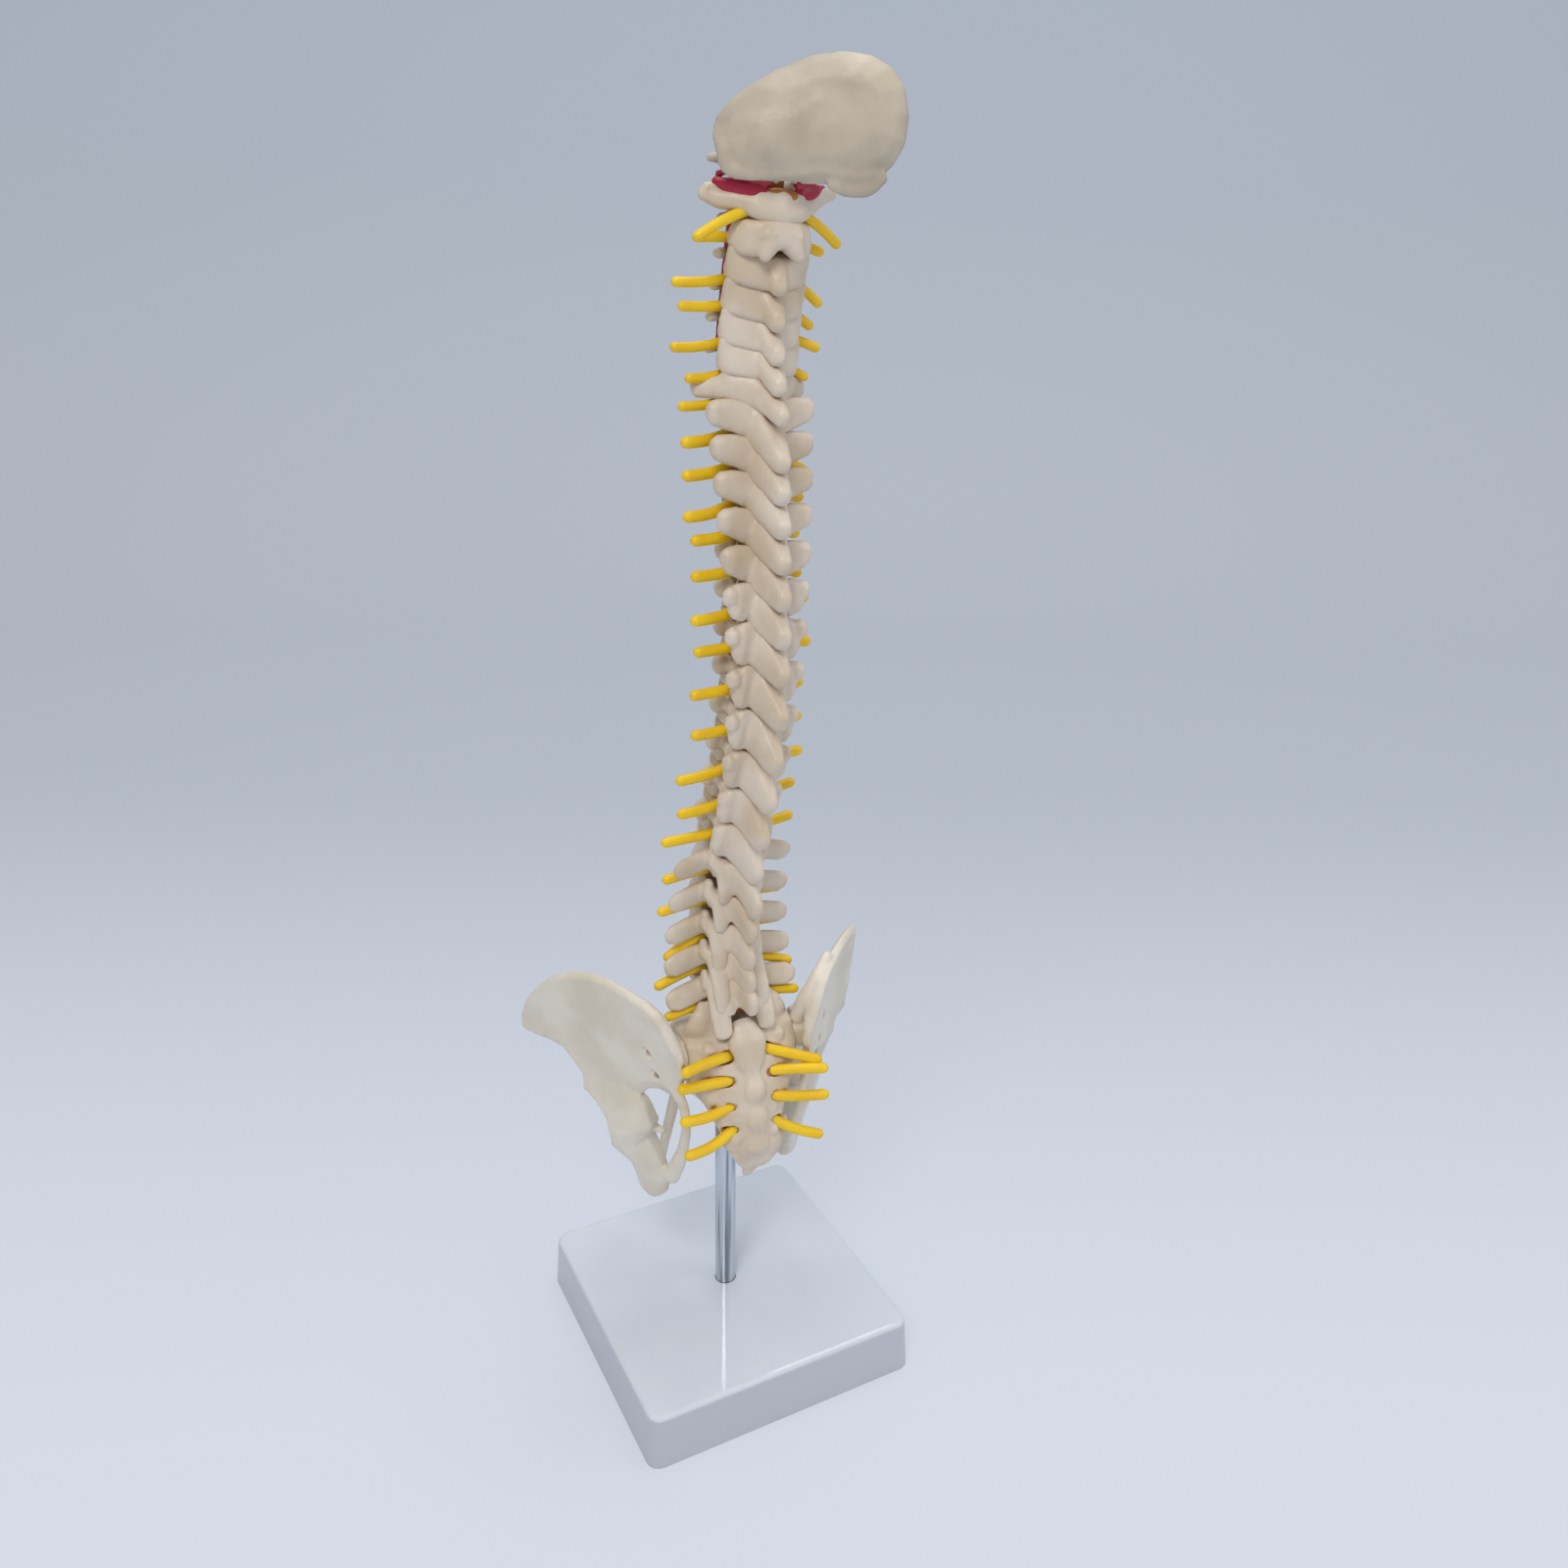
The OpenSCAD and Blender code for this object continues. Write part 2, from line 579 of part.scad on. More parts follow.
// Core wire from the rod through every bone to the cap
cap_z = 9.5;
function wire_path() = concat(
    [[0, 0, rod_top - wire_grip], [0, 0, rod_top + 0.5]],
    [for (k = [L5:-1:1]) disc_mid(k)],
    [axis_top(), put(bone_frame(0), [0, 0, cap_z])]);
module core_wire() { color([0.72, 0.75, 0.78]) tube(wire_path(), wire_d, 6); }

// Cap pressed on the top of the core wire
module core_cap() {
    color("white") at_frame(bone_frame(0)) translate([0, 0, cap_z - 2.5]) difference() {
        cylinder(h = 4, d = 6);
        translate([0, 0, -1]) cylinder(h = 3.7, d = wire_d + 2 * hole_gap);
    }
}

// Spinal cord down the canal
function cord_path() = concat(
    [put(bone_frame(0), [0, -8.8, 5])],
    [for (k = [0:L5]) put(bone_frame(k), [0, k == 0 ? -8.4 : canal_y(k), 0])],
    [put(disc_frame(L5), [0, canal_y(L5), -3])]);
function pin_profile(r, l) = concat([[0, 0], [r, 0]], [for (t = [0:22.5:90]) [r * cos(t), l - r + r * sin(t)]]);
module pin(r, l) { rotate_extrude($fn = 24) polygon(pin_profile(r, l)); }
module nerve(k, side) {
    r = (k < 7 ? neck_nerve_d : nerve_d) / 2;
    slope = k == 0 ? top_nerve_slope : along(side < 0 ? nerve_slope_left : nerve_slope_right, k);
    root = cord_d / 2 + 0.1;
    l = along(side < 0 ? nerve_reach_left : nerve_reach_right, k) / cos(slope) - root;
    place = k == 0 ? [0, -10.6, -3.2] : [0, back_of_body(k) - r - 0.5, along(nerve_up, k) * along(pitch, k)];
    at_frame(k == 0 ? bone_frame(0) : disc_frame(k)) translate(place) rotate([0, side * (90 + slope), 0])
        translate([0, 0, root]) pin(r, l);
}
module spinal_cord() { color(nerve_colour) tube(cord_path(), cord_d); }

// Arteries of the neck through the rings of the transverse processes, over the arch of the atlas
function artery_path(side) = concat(
    [for (k = [5:-1:1]) put(bone_frame(k), [side * artery_x, artery_y, 0])],
    [for (p = [[8.6, -0.5, -5.4], [12.6, -0.6, -4.6], [14.6, -3.2, -2.9], [14.6, -3.2, 3.2], [12.6, -7.4, 4.6], [8.4, -11.4, 3.6], [3.6, -13.4, 3.2]])
        put(bone_frame(0), [side * p[0], p[1], p[2]])]);
module vertebral_arteries() {
    color(artery_colour) for (side = [-1, 1]) tube(artery_path(side), artery_d, 6);
}

// Occipital bone: a shallow bowl that stands behind the atlas, on two condyles
plate_centre = [8, -38, 438.4];
plate_out = unit([-0.3, -0.93, 0.2]);
plate_right = unit(cross([0, 0, 1], plate_out));
plate_up = cross(plate_out, plate_right);
function plate_ring(r, depth) = [for (j = [0:19])
    let(t = -18 * j, c = signed_pow(cos(t), 0.92), s = signed_pow(sin(t), 0.88),
        a = 27 * r * c, b = (17.4 + 3.2 * c) * r * s * (s > 0 && c < 0 ? 1 + 0.16 * c : 1) + 0.12 * a)
    plate_centre + plate_right * a + plate_up * b + plate_out * (4 - 8 * r * r - depth)];
module occipital_bone() {
    shell = 2.3;
    color(bone_colour) union() {
        skin([plate_ring(0.2, 0), plate_ring(0.55, 0), plate_ring(0.85, 0), plate_ring(1, 0.5),
            plate_ring(1, shell * 0.75), plate_ring(0.85, shell), plate_ring(0.2, shell)]);
        at_frame(bone_frame(0)) for (side = [0, 1]) mirror([side, 0, 0]) {
            limb([
                [[-9.4, -3.0, 3.5], 2.6, 3.2, [0, 1, 0]],
                [[-9.0, -4.4, 7.0], 3.0, 3.4, [0, 1, 0]],
                [[-7.6, -10.0, 10.4], 2.8, 2.8, [0, 1, 0.6]],
                [[-5.6, -16.4 - 4 * side, 10.5], 2.2, 2.2, [0, 0.6, 1]]
            ]);
            limb([
                [[-7.0, -3.2, 7.0], 2.0, 2.4, [0, 0, 1]],
                [[-12.4, -0.6, 6.9], 2.2, 2.0, [0, 0, 1]],
                [[-17.0, 0.6, 6.4], 1.0, 1.2, [0, 0, 1]]
            ]);
        }
    }
}

// Level ring round the sacrum: height, front and back, half width and height of the crest behind
function sacral_ring(z, front, back, half_w, crest, n = 16) = [for (j = [0:n - 1])
    let(t = 360 * (j + 0.5) / n, c = cos(t), s = sin(t), mid = (front + back) / 2, deep = (front - back) / 2)
    [half_w * signed_pow(c, 0.9), mid + (s > 0 ? deep * pow(s, 0.8) : -deep * pow(-s, 0.6) - crest * pow(-s, 16)), z]];
module sacrum() {
    f = disc_frame(L5);
    half_disc = along(disc_t, L5) / 2;
    half_w = sacrum_w / 2;
    color(bone_colour) difference() {
        union() {
            skin([
                sacral_ring(94.5, -20, -25.5, 5.2, 0),
                sacral_ring(100, -18.5, -26.6, 8.6, 0.5),
                sacral_ring(110, -15, -26.6, 0.48 * half_w, 1.2),
                sacral_ring(120, -9.5, -25, 0.64 * half_w, 1.8),
                sacral_ring(130, -2, -22, 0.88 * half_w, 1.8),
                sacral_ring(137, 5.5, -19.5, half_w, 1.6),
                sacral_ring(144, 9.5, -16, 0.98 * half_w, 1.2),
                sacral_ring(148, 6, -11, 0.8 * half_w, 0)
            ]);
            skin([for (i = [0:1]) [for (p = body_outline(along(body_w, L5), along(body_d, L5)))
                put(f, [p[0], p[1], [-12, -half_disc][i]])]]);
            at_frame(f) pair() limb([
                [[-10, -11, -10], 3.2, 3.4, [0, 1, 0]],
                [[-10.8, -13, -1], 2.2, 2.6, [0, 1, 0]],
                [[-11, -13.4, 4], 1.0, 1.4, [0, 1, 0]]
            ]);
            limb([
                [[0, -22.6, 98], 3.6, 2.6, [0, 1, 0]],
                [[0, -21.6, 92], 3.8, 2.2, [0, 1, 0]],
                [[0, -19.4, 88], 2.4, 1.7, [0, 1, 0]],
                [[0, -17, 85.5], 1.3, 1.1, [0, 1, 0]]
            ]);
        }
        at_frame(f) translate([0, canal_y(L5), -10]) cylinder(h = 30, d = cord_d + 3);
        at_frame(f) translate([-30, back_of_body(L5) - 1, -half_disc]) cube([60, 40, 30]);
        translate([0, 0, 100]) cylinder(h = rod_top - 100 + 1, d = rod_d + 2 * hole_gap);
        at_frame(frame_between([0, 0, rod_top], disc_mid(L5))) cylinder(h = 12, d = wire_d + 2 * hole_gap, center = true);
        for (side = [-1, 1]) {
            translate([side * (joint_x + 20), -20, 130]) cube([40, 80, 100], center = true);
            for (i = [0:3]) sacral_place(i, side)
                cylinder(h = sacral_nerve_l, d = sacral_nerve_d + 2 * hole_gap);
        }
    }
}

// Roots of the sacral nerves in the back of the sacrum: height, depth and distance from the middle
sacral_roots = [[139, -16.9, 6.5], [130.5, -19.6, 6.5], [121.5, -21.6, 6.2], [113, -22.8, 6]];
module sacral_place(i, side) {
    root = sacral_roots[i];
    translate([side * root[2], root[1], root[0]]) rotate([0, 0, side > 0 ? -sacral_turn_right[i] : 180 + sacral_turn_left[i]])
        rotate([0, 90 + (side < 0 ? sacral_slope_left : sacral_slope_right)[i], 0]) children();
}

// Nerve pins: a pair between all the bones, and four pairs in the holes of the sacrum
module nerve_pins() {
    color(nerve_colour) for (side = [-1, 1]) {
        for (k = [0:L5]) nerve(k, side);
        for (i = [0:3]) sacral_place(i, side) pin(sacral_nerve_d / 2, sacral_nerve_l);
    }
}

// A point of the hip bone: along the blade from back to front, height and distance out of the blade's plane
blade_run = [-0.516, 0.857, 0];
blade_out = [-0.857, -0.516, 0];
blade_flare = 0.165;
function wing(u, z, out) = [-22, -18, z] + blade_run * u + blade_out * (blade_flare * (z - 112) + out);

// Upright section of the blade: place, foot, top, half thickness at the crest
function blade_ring(u, foot, top, t) =
    let(h = top - foot)
    [for (p = [[foot, 0], [foot + 0.12 * h, -1.5], [foot + 0.5 * h, -1.3], [top - 2.4, -t], [top, 0],
        [top - 2.4, t], [foot + 0.5 * h, 1.3], [foot + 0.12 * h, 1.5]]) wing(u, p[0], -p[1])];
module hip() {
    ischium = [[122, 36, 13, 2.5], [113, 34, 16, 6], [104, 30.3, 14.6, 8.5], [97, 28.8, 10, 7.5],
        [90, 23.5, 7.8, 5.5], [82, 21.6, 8.2, 5], [75, 22.4, 6.6, 4.5], [70.6, 23, 3, 2.5]];
    pubis = [-5, 40, 95];
    color(bone_colour) difference() {
        union() {
            skin([blade_ring(-0.6, 138, 146, 1.2), blade_ring(1.4, 132, 151.7, 2.6), blade_ring(4.2, 127, 158.8, 2.8),
                blade_ring(7.1, 126, 164.2, 2.7), blade_ring(11.7, 127, 167.2, 2.5), blade_ring(17, 125, 168.8, 2.3),
                blade_ring(21.6, 119.6, 170.1, 2.1), blade_ring(28, 112, 171.6, 2), blade_ring(35, 108, 171.7, 2),
                blade_ring(43.7, 110, 169.3, 2), blade_ring(50, 120.5, 166.4, 2), blade_ring(56.2, 129.1, 162.4, 2),
                blade_ring(63, 130.2, 156.4, 2.1), blade_ring(70.4, 130.2, 147.4, 2), blade_ring(74.6, 132, 139, 1)]);
            limb([for (s = ischium) [wing(s[1], s[0], 0), s[2], s[3], blade_out]], 10);
            limb([[wing(24, 105, -1), 3, 3.5, blade_out], [wing(15, 103.6, -3), 0.8, 1.2, blade_out]]);
            // Bridge to the joint face beside the sacrum
            limb([[[-31, -4, 140], 4, 8, [0, 0, 1]], [[-26, -8, 139], 8, 8.6, [0, 0, 1]], [[-19, -9, 138], 7, 8, [0, 0, 1]]], 8);
            // Upper and lower branches of the pubic bone
            limb([[wing(40, 106, 0), 5, 6, [0, 0, 1]], [[-24, 33, 104], 3, 3.2, [0, 0, 1]], [[-9, 40, 98], 3, 4.5, [0, 0, 1]],
                [[-0.5, 41, 94], 3, 7, [0, 0, 1]]], 8);
            limb([[wing(23, 75, 0), 3, 4, [0, 0, 1]], [[-15, 25, 77], 2, 3, [0, 0, 1]], [[-6, 36, 86], 2.4, 3.6, [0, 0, 1]],
                [[-0.5, 40.5, 92], 2.8, 5, [0, 0, 1]]], 8);
        }
        translate([-49, 19, 101]) sphere(d = socket_d);
        for (p = [[14.2, 143.5], [11.9, 134.2]]) translate(wing(p[0], p[1], 0)) rotate([0, 90, 211]) scale([1.7, 1, 1])
            cylinder(h = 12, d = 2.2, center = true, $fn = 10);
        translate([-symphysis_w / 2, 0, 0]) cube([50, 100, 200]);
        translate([-joint_x, -60, 60]) cube([50, 75, 120]);
    }
}
module hip_left() { hip(); }
module hip_right() { mirror([1, 0, 0]) hip(); }
module symphysis_pad() {
    color(disc_colour) translate([-symphysis_w / 2, 41, 93.5]) rotate([0, 90, 0]) linear_extrude(symphysis_w) circle(d = 5);
}

base_plate();
stand_rod();
base_nut();
core_wire();
core_cap();
sacrum();
hip_left();
hip_right();
symphysis_pad();
occipital_bone();
spinal_cord();
nerve_pins();
vertebral_arteries();
for (k = [0:L5]) vertebra(k);
for (k = [1:L5]) disc(k);
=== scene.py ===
import math

import bmesh
import bpy
import numpy as np
from mathutils import Matrix, Vector
from mathutils.bvhtree import BVHTree


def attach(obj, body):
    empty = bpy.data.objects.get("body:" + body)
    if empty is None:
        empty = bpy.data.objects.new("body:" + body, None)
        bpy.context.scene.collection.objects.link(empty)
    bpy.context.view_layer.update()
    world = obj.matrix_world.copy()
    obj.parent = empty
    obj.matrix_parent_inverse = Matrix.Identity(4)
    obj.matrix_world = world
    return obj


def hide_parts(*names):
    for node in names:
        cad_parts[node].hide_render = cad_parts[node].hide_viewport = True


bl_info = {
    "name": "Spine model dresser",
    "version": (1, 0, 0),
    "blender": (4, 5, 0),
    "location": "View3D > Sidebar > Spine model",
    "description": "Dresses the solids of a half size spine model in bone, nerve, artery and steel",
    "category": "Object",
}

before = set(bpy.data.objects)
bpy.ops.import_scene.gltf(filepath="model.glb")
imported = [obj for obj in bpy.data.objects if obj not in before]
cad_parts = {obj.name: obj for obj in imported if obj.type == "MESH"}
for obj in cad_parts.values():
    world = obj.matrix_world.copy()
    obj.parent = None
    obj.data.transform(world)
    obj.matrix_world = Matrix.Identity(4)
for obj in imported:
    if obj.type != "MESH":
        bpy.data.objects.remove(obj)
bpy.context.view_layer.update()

MM = 0.001
ROOT = "root"
NECK = ["c%d" % i for i in range(1, 8)]
CHEST = ["t%d" % i for i in range(1, 13)]
LOINS = ["l%d" % i for i in range(1, 6)]
LEVELS = NECK + CHEST + LOINS
LAST = len(LEVELS) - 1
# Places in LEVELS of the neck bones that have their own forms, and of the first of the chest and the loins
ATLAS, AXIS, THIRD, SEVENTH = 0, 1, 2, 6
FIRST_CHEST = len(NECK)
FIRST_LOIN = FIRST_CHEST + len(CHEST)
# Finished pieces, on which the painted shade of the hollows is marked last
shells = []

# Sizes repeated from the solids' source, in millimetres and degrees, at C3, C7, T1, T12, L1 and L5
ROWS = {
    "pitch": (8.4, 9.0, 9.6, 14.6, 14.6, 14.6),
    "disc_t": (1.8, 2.0, 1.8, 2.8, 3.2, 3.6),
    "body_w": (10, 11.5, 12.5, 18, 19.5, 23),
    "body_d": (7.5, 8.5, 9, 14, 15, 16.5),
    "canal_w": (11, 11, 9.5, 10, 11, 12),
    "canal_d": (8, 8, 8.2, 8.5, 8.5, 8.5),
    "pedicle_h": (2.7, 2.9, 4.1, 6.4, 6.8, 6.4),
    "pedicle_w": (2.8, 3.0, 3.0, 3.6, 3.8, 5.4),
    "lamina_h": (7.6, 8.2, 10.8, 14, 10.5, 7.5),
    "lamina_t": (2.6, 2.8, 3.2, 3.4, 3.6, 3.6),
    "spine_l": (7.5, 17, 18.5, 15, 18, 13.5),
    "spine_slope": (24, 26, 38, 26, 16, 18),
    "spine_w": (5, 5.2, 6.2, 5.8, 4.8, 4.8),
    "spine_h": (4.8, 5.0, 6.6, 9.6, 8.8, 6.6),
    "reach": (14.3, 15.2, 17.2, 10.5, 21.5, 25),
    "nerve_up": (0.09, 0.12, 0.19, 0.25, 0.24, 0.22),
}
SACRUM_TOP = 148
AXIS_H = 8.6
AXIS_GAP = 0.9
AXIS_TO_ATLAS = 8.2
NECK_LEAN = 2
# Share of a body's depth that lies behind the line of the column
BEHIND = 0.42
# Reach of each nerve from the middle and how far its tip hangs below its root, from C1 down
LEFT_TIPS = (
    (24.2, 8.8), (21.8, 0.7), (26.9, 4.3), (24.3, 2.3), (25.9, 5.0), (21.2, 4.9),
    (23.4, 3.5), (22.9, 4.4), (22.9, 4.0), (23.0, 5.6), (20.8, 1.9), (21.1, 1.4),
    (21.5, 3.1), (20.7, 0.7), (22.0, 1.1), (20.9, 1.4), (24.5, 3.6), (22.5, 3.1),
    (26.9, -0.5), (25.0, 1.5), (26.0, 1.2), (23.7, 6.7), (28.2, 4.2), (26.5, 1.8),
)
RIGHT_TIPS = (
    (21.7, 8.5), (19.7, 2.7), (21.5, 8.0), (19.5, 5.9), (22.5, 3.8), (19.0, 4.0),
    (16.0, 4.1), (16.2, 6.2), (18.6, 4.0), (17.5, 2.0), (16.1, 2.0), (16.8, 3.0),
    (19.2, -0.5), (20.2, 1.4), (18.0, 1.5), (18.7, -0.3), (21.0, -1.0), (20.5, -2.5),
    (22.5, -2.4), (22.0, -2.0), (22.5, 1.0), (23.1, 0.6), (26.6, 6.1), (27.3, 3.0),
)
# Distance of those nerves' roots from the middle, and the root of the first one behind and below the atlas
NERVE_ROOT = 2.6
ATLAS_NERVE = (-10.6, -3.2)
# Height, depth and distance from the middle of the roots of the sacral nerves
SACRAL_ROOTS = ((139, -16.9, 6.5), (130.5, -19.6, 6.5), (121.5, -21.6, 6.2), (113, -22.8, 6))
# How far each points back and down, in degrees, and how far it sags
SACRAL_LEFT = ((20, -9, -0.6), (9, -12, 0.0), (9, -3, 1.4), (12, 9, 2.2))
SACRAL_RIGHT = ((20, 18, 0.0), (20, 1, -0.4), (20, 4, 0.6), (20, 26, 1.2))
SACRAL_LENGTH = 21.5
SACRAL_RADIUS = 2.0


# Shape of the column, as in the solids' source
def along(row, k):
    sizes = ROWS[row]
    if k < FIRST_CHEST:
        low, high, share = sizes[0], sizes[1], max(0, k - THIRD) / (SEVENTH - THIRD)
    elif k < FIRST_LOIN:
        low, high, share = sizes[2], sizes[3], (k - FIRST_CHEST) / (len(CHEST) - 1)
    else:
        low, high, share = sizes[4], sizes[5], (k - FIRST_LOIN) / (len(LOINS) - 1)
    return low + (high - low) * share


def ease(share):
    return (1 - math.cos(math.pi * max(0, min(1, share)))) / 2


def disc_height(k):
    return SACRUM_TOP + sum(along("pitch", j) for j in range(k + 1, LAST + 1))


ATLAS_HEIGHT = disc_height(AXIS) + AXIS_H + AXIS_TO_ATLAS
# Height and depth of the line's foot, of its bends under L3, T7 and C6, and of its head
CURVE = (
    (85, -24),
    (disc_height(21), 11),
    (disc_height(13), -13),
    (disc_height(5), -11),
    (ATLAS_HEIGHT + 6, -18),
)


def line_at(z):
    part = [i for i in range(4) if i == 0 or z >= CURVE[i][0]][-1]
    (foot, near), (head, far) = CURVE[part], CURVE[part + 1]
    neck = disc_height(FIRST_CHEST)
    lean = NECK_LEAN * ease((z - neck) / (ATLAS_HEIGHT - neck))
    return Vector((lean, near + (far - near) * ease((z - foot) / (head - foot)), z))


def frame_along(run, place):
    turned = Matrix.Rotation(math.atan2(run.x, run.z), 4, "Y") @ Matrix.Rotation(-math.asin(run.y), 4, "X")
    return Matrix.Translation(place) @ turned


def disc_frame(k):
    z = disc_height(k)
    return frame_along((line_at(z + 0.5) - line_at(z - 0.5)).normalized(), line_at(z))


def bone_ends(k):
    low = line_at(disc_height(k))
    high = disc_frame(AXIS) @ Vector((0, 0, AXIS_H + AXIS_GAP)) if k == AXIS else line_at(disc_height(k - 1))
    return low, high


def bone_frame(k):
    if k == ATLAS:
        return bone_frame(AXIS) @ Matrix.Translation((0, 0, AXIS_TO_ATLAS))
    low, high = bone_ends(k)
    return frame_along((high - low).normalized(), (low + high) / 2)


class Level:
    """Sizes and places of a vertebra in its own frame, in millimetres

    x is the middle of a pedicle, canal the depth of the canal's middle and lamina that of the plates behind
    it, z the height of the pedicles and low that of the plates. The spine starts at root and points along way.
    """

    def __init__(self, k):
        for row in ROWS:
            setattr(self, row, along(row, k))
        low, high = bone_ends(max(k, AXIS))
        back = -BEHIND * self.body_d
        slope = math.radians(self.spine_slope)
        self.k = k
        self.height = (high - low).length - (AXIS_GAP if k < THIRD else self.disc_t)
        self.x = (self.canal_w + self.pedicle_w) / 2
        self.canal = back - self.canal_d / 2
        self.lamina = back - self.canal_d - self.lamina_t / 2
        self.z = 0.16 * self.height
        self.low = self.z + self.pedicle_h / 2 - 0.47 * self.lamina_h
        self.way = Vector((0, -math.cos(slope), -math.sin(slope)))
        self.root = Vector((0, self.lamina, self.z + self.pedicle_h / 2 - 0.5 * self.lamina_h))


# Node tree helpers
def link(tree, out_socket, in_socket):
    tree.links.new(out_socket, in_socket)


def add_node(tree, kind, **values):
    node = tree.nodes.new(kind)
    for key, value in values.items():
        setattr(node, key, value)
    return node


def set_inputs(node, **values):
    for key, value in values.items():
        node.inputs[key.replace("_", " ")].default_value = value


def srgb(r, g, b):
    def one(c):
        c = c / 255
        return c / 12.92 if c <= 0.04045 else ((c + 0.055) / 1.055) ** 2.4

    return (one(r), one(g), one(b), 1.0)


def mix_colour(tree, factor, low, high):
    node = add_node(tree, "ShaderNodeMix", data_type="RGBA")
    for socket, value in (("Factor", factor), ("A", low), ("B", high)):
        plug = [s for s in node.inputs if s.name == socket and (s.type == "RGBA") == (socket != "Factor")][0]
        if isinstance(value, bpy.types.NodeSocket):
            link(tree, value, plug)
        else:
            plug.default_value = value
    return [s for s in node.outputs if s.type == "RGBA"][0]


def mix_value(tree, a, b, share):
    node = add_node(tree, "ShaderNodeMix", data_type="FLOAT")
    node.inputs[0].default_value = share
    link(tree, a, node.inputs[2])
    link(tree, b, node.inputs[3])
    return node.outputs[0]


def reshape(tree, value, low_in, high_in, low_out=0.0, high_out=1.0):
    node = add_node(tree, "ShaderNodeMapRange", interpolation_type="SMOOTHSTEP")
    link(tree, value, node.inputs["Value"])
    set_inputs(node, From_Min=low_in, From_Max=high_in, To_Min=low_out, To_Max=high_out)
    return node.outputs["Result"]


def noise(tree, vector, scale, detail):
    node = add_node(tree, "ShaderNodeTexNoise")
    link(tree, vector, node.inputs["Vector"])
    set_inputs(node, Scale=scale, Detail=detail)
    return node.outputs["Fac"]


def part_of(tree, place, output, axis):
    parts = add_node(tree, "ShaderNodeSeparateXYZ")
    link(tree, place.outputs[output], parts.inputs["Vector"])
    return parts.outputs[axis]


# Shared effect: a value that drifts over the surface in patches and fine grain
def mottle_group():
    name = "cast_mottle"
    if name in bpy.data.node_groups:
        return bpy.data.node_groups[name]
    group = bpy.data.node_groups.new(name, "ShaderNodeTree")
    face = group.interface
    for label, default in (("Patch Scale", 60.0), ("Grain Scale", 900.0)):
        face.new_socket(label, in_out="INPUT", socket_type="NodeSocketFloat").default_value = default
    face.new_socket("Patches", in_out="OUTPUT", socket_type="NodeSocketFloat")
    face.new_socket("Grain", in_out="OUTPUT", socket_type="NodeSocketFloat")
    entry = add_node(group, "NodeGroupInput")
    leave = add_node(group, "NodeGroupOutput")
    place = add_node(group, "ShaderNodeTexCoord")
    for label, result, detail in (("Patch Scale", "Patches", 4.0), ("Grain Scale", "Grain", 2.0)):
        cloud = add_node(group, "ShaderNodeTexNoise")
        cloud.inputs["Detail"].default_value = detail
        link(group, place.outputs["Object"], cloud.inputs["Vector"])
        link(group, entry.outputs[label], cloud.inputs["Scale"])
        link(group, cloud.outputs["Fac"], leave.inputs[result])
    return group


def new_material(name):
    material = bpy.data.materials.new(name)
    material.use_nodes = True
    tree = material.node_tree
    shader = [n for n in tree.nodes if n.type == "BSDF_PRINCIPLED"][0]
    return material, tree, shader


def mottle(tree, patch, grain):
    node = add_node(tree, "ShaderNodeGroup", node_tree=mottle_group())
    set_inputs(node, Patch_Scale=patch, Grain_Scale=grain)
    return node.outputs["Patches"], node.outputs["Grain"]


def bump(tree, shader, height, strength, distance):
    node = add_node(tree, "ShaderNodeBump")
    set_inputs(node, Strength=strength, Distance=distance)
    link(tree, height, node.inputs["Height"])
    link(tree, node.outputs["Normal"], shader.inputs["Normal"])


def attribute(tree, name):
    return add_node(tree, "ShaderNodeAttribute", attribute_name=name).outputs["Fac"]


# Roughness that drifts between two values with the grain
def roughen(tree, shader, grain, least, most):
    link(tree, reshape(tree, grain, 0.2, 0.8, least, most), shader.inputs["Roughness"])


# Cast bone plastic: warm ivory with paler patches, a soft sheen, and tan painted shade in its hollows
def bone_material(name, pale, warm, hollow, rough=0.36):
    material, tree, shader = new_material(name)
    patches, grain = mottle(tree, 55.0, 1500.0)
    body = mix_colour(tree, reshape(tree, patches, 0.35, 0.68), pale, warm)
    shade = reshape(tree, attribute(tree, "hollow"), 0.38, 0.84)
    link(tree, mix_colour(tree, shade, body, hollow), shader.inputs["Base Color"])
    roughen(tree, shader, grain, rough - 0.06, rough + 0.10)
    bump(tree, shader, mix_value(tree, patches, grain, 0.45), strength=0.32, distance=0.0005)
    shader.inputs["IOR"].default_value = 1.46
    return material


# Soft coloured plastic of the cord, the nerves and the arteries, with painted shade in its hollows
def vinyl_material(name, pale, deep, hollow, rough):
    material, tree, shader = new_material(name)
    patches, grain = mottle(tree, 90.0, 1200.0)
    body = mix_colour(tree, reshape(tree, patches, 0.35, 0.7), pale, deep)
    shade = reshape(tree, attribute(tree, "hollow"), 0.4, 1.0)
    link(tree, mix_colour(tree, shade, body, hollow), shader.inputs["Base Color"])
    roughen(tree, shader, grain, rough - 0.08, rough + 0.08)
    bump(tree, shader, grain, strength=0.15, distance=0.0002)
    return material
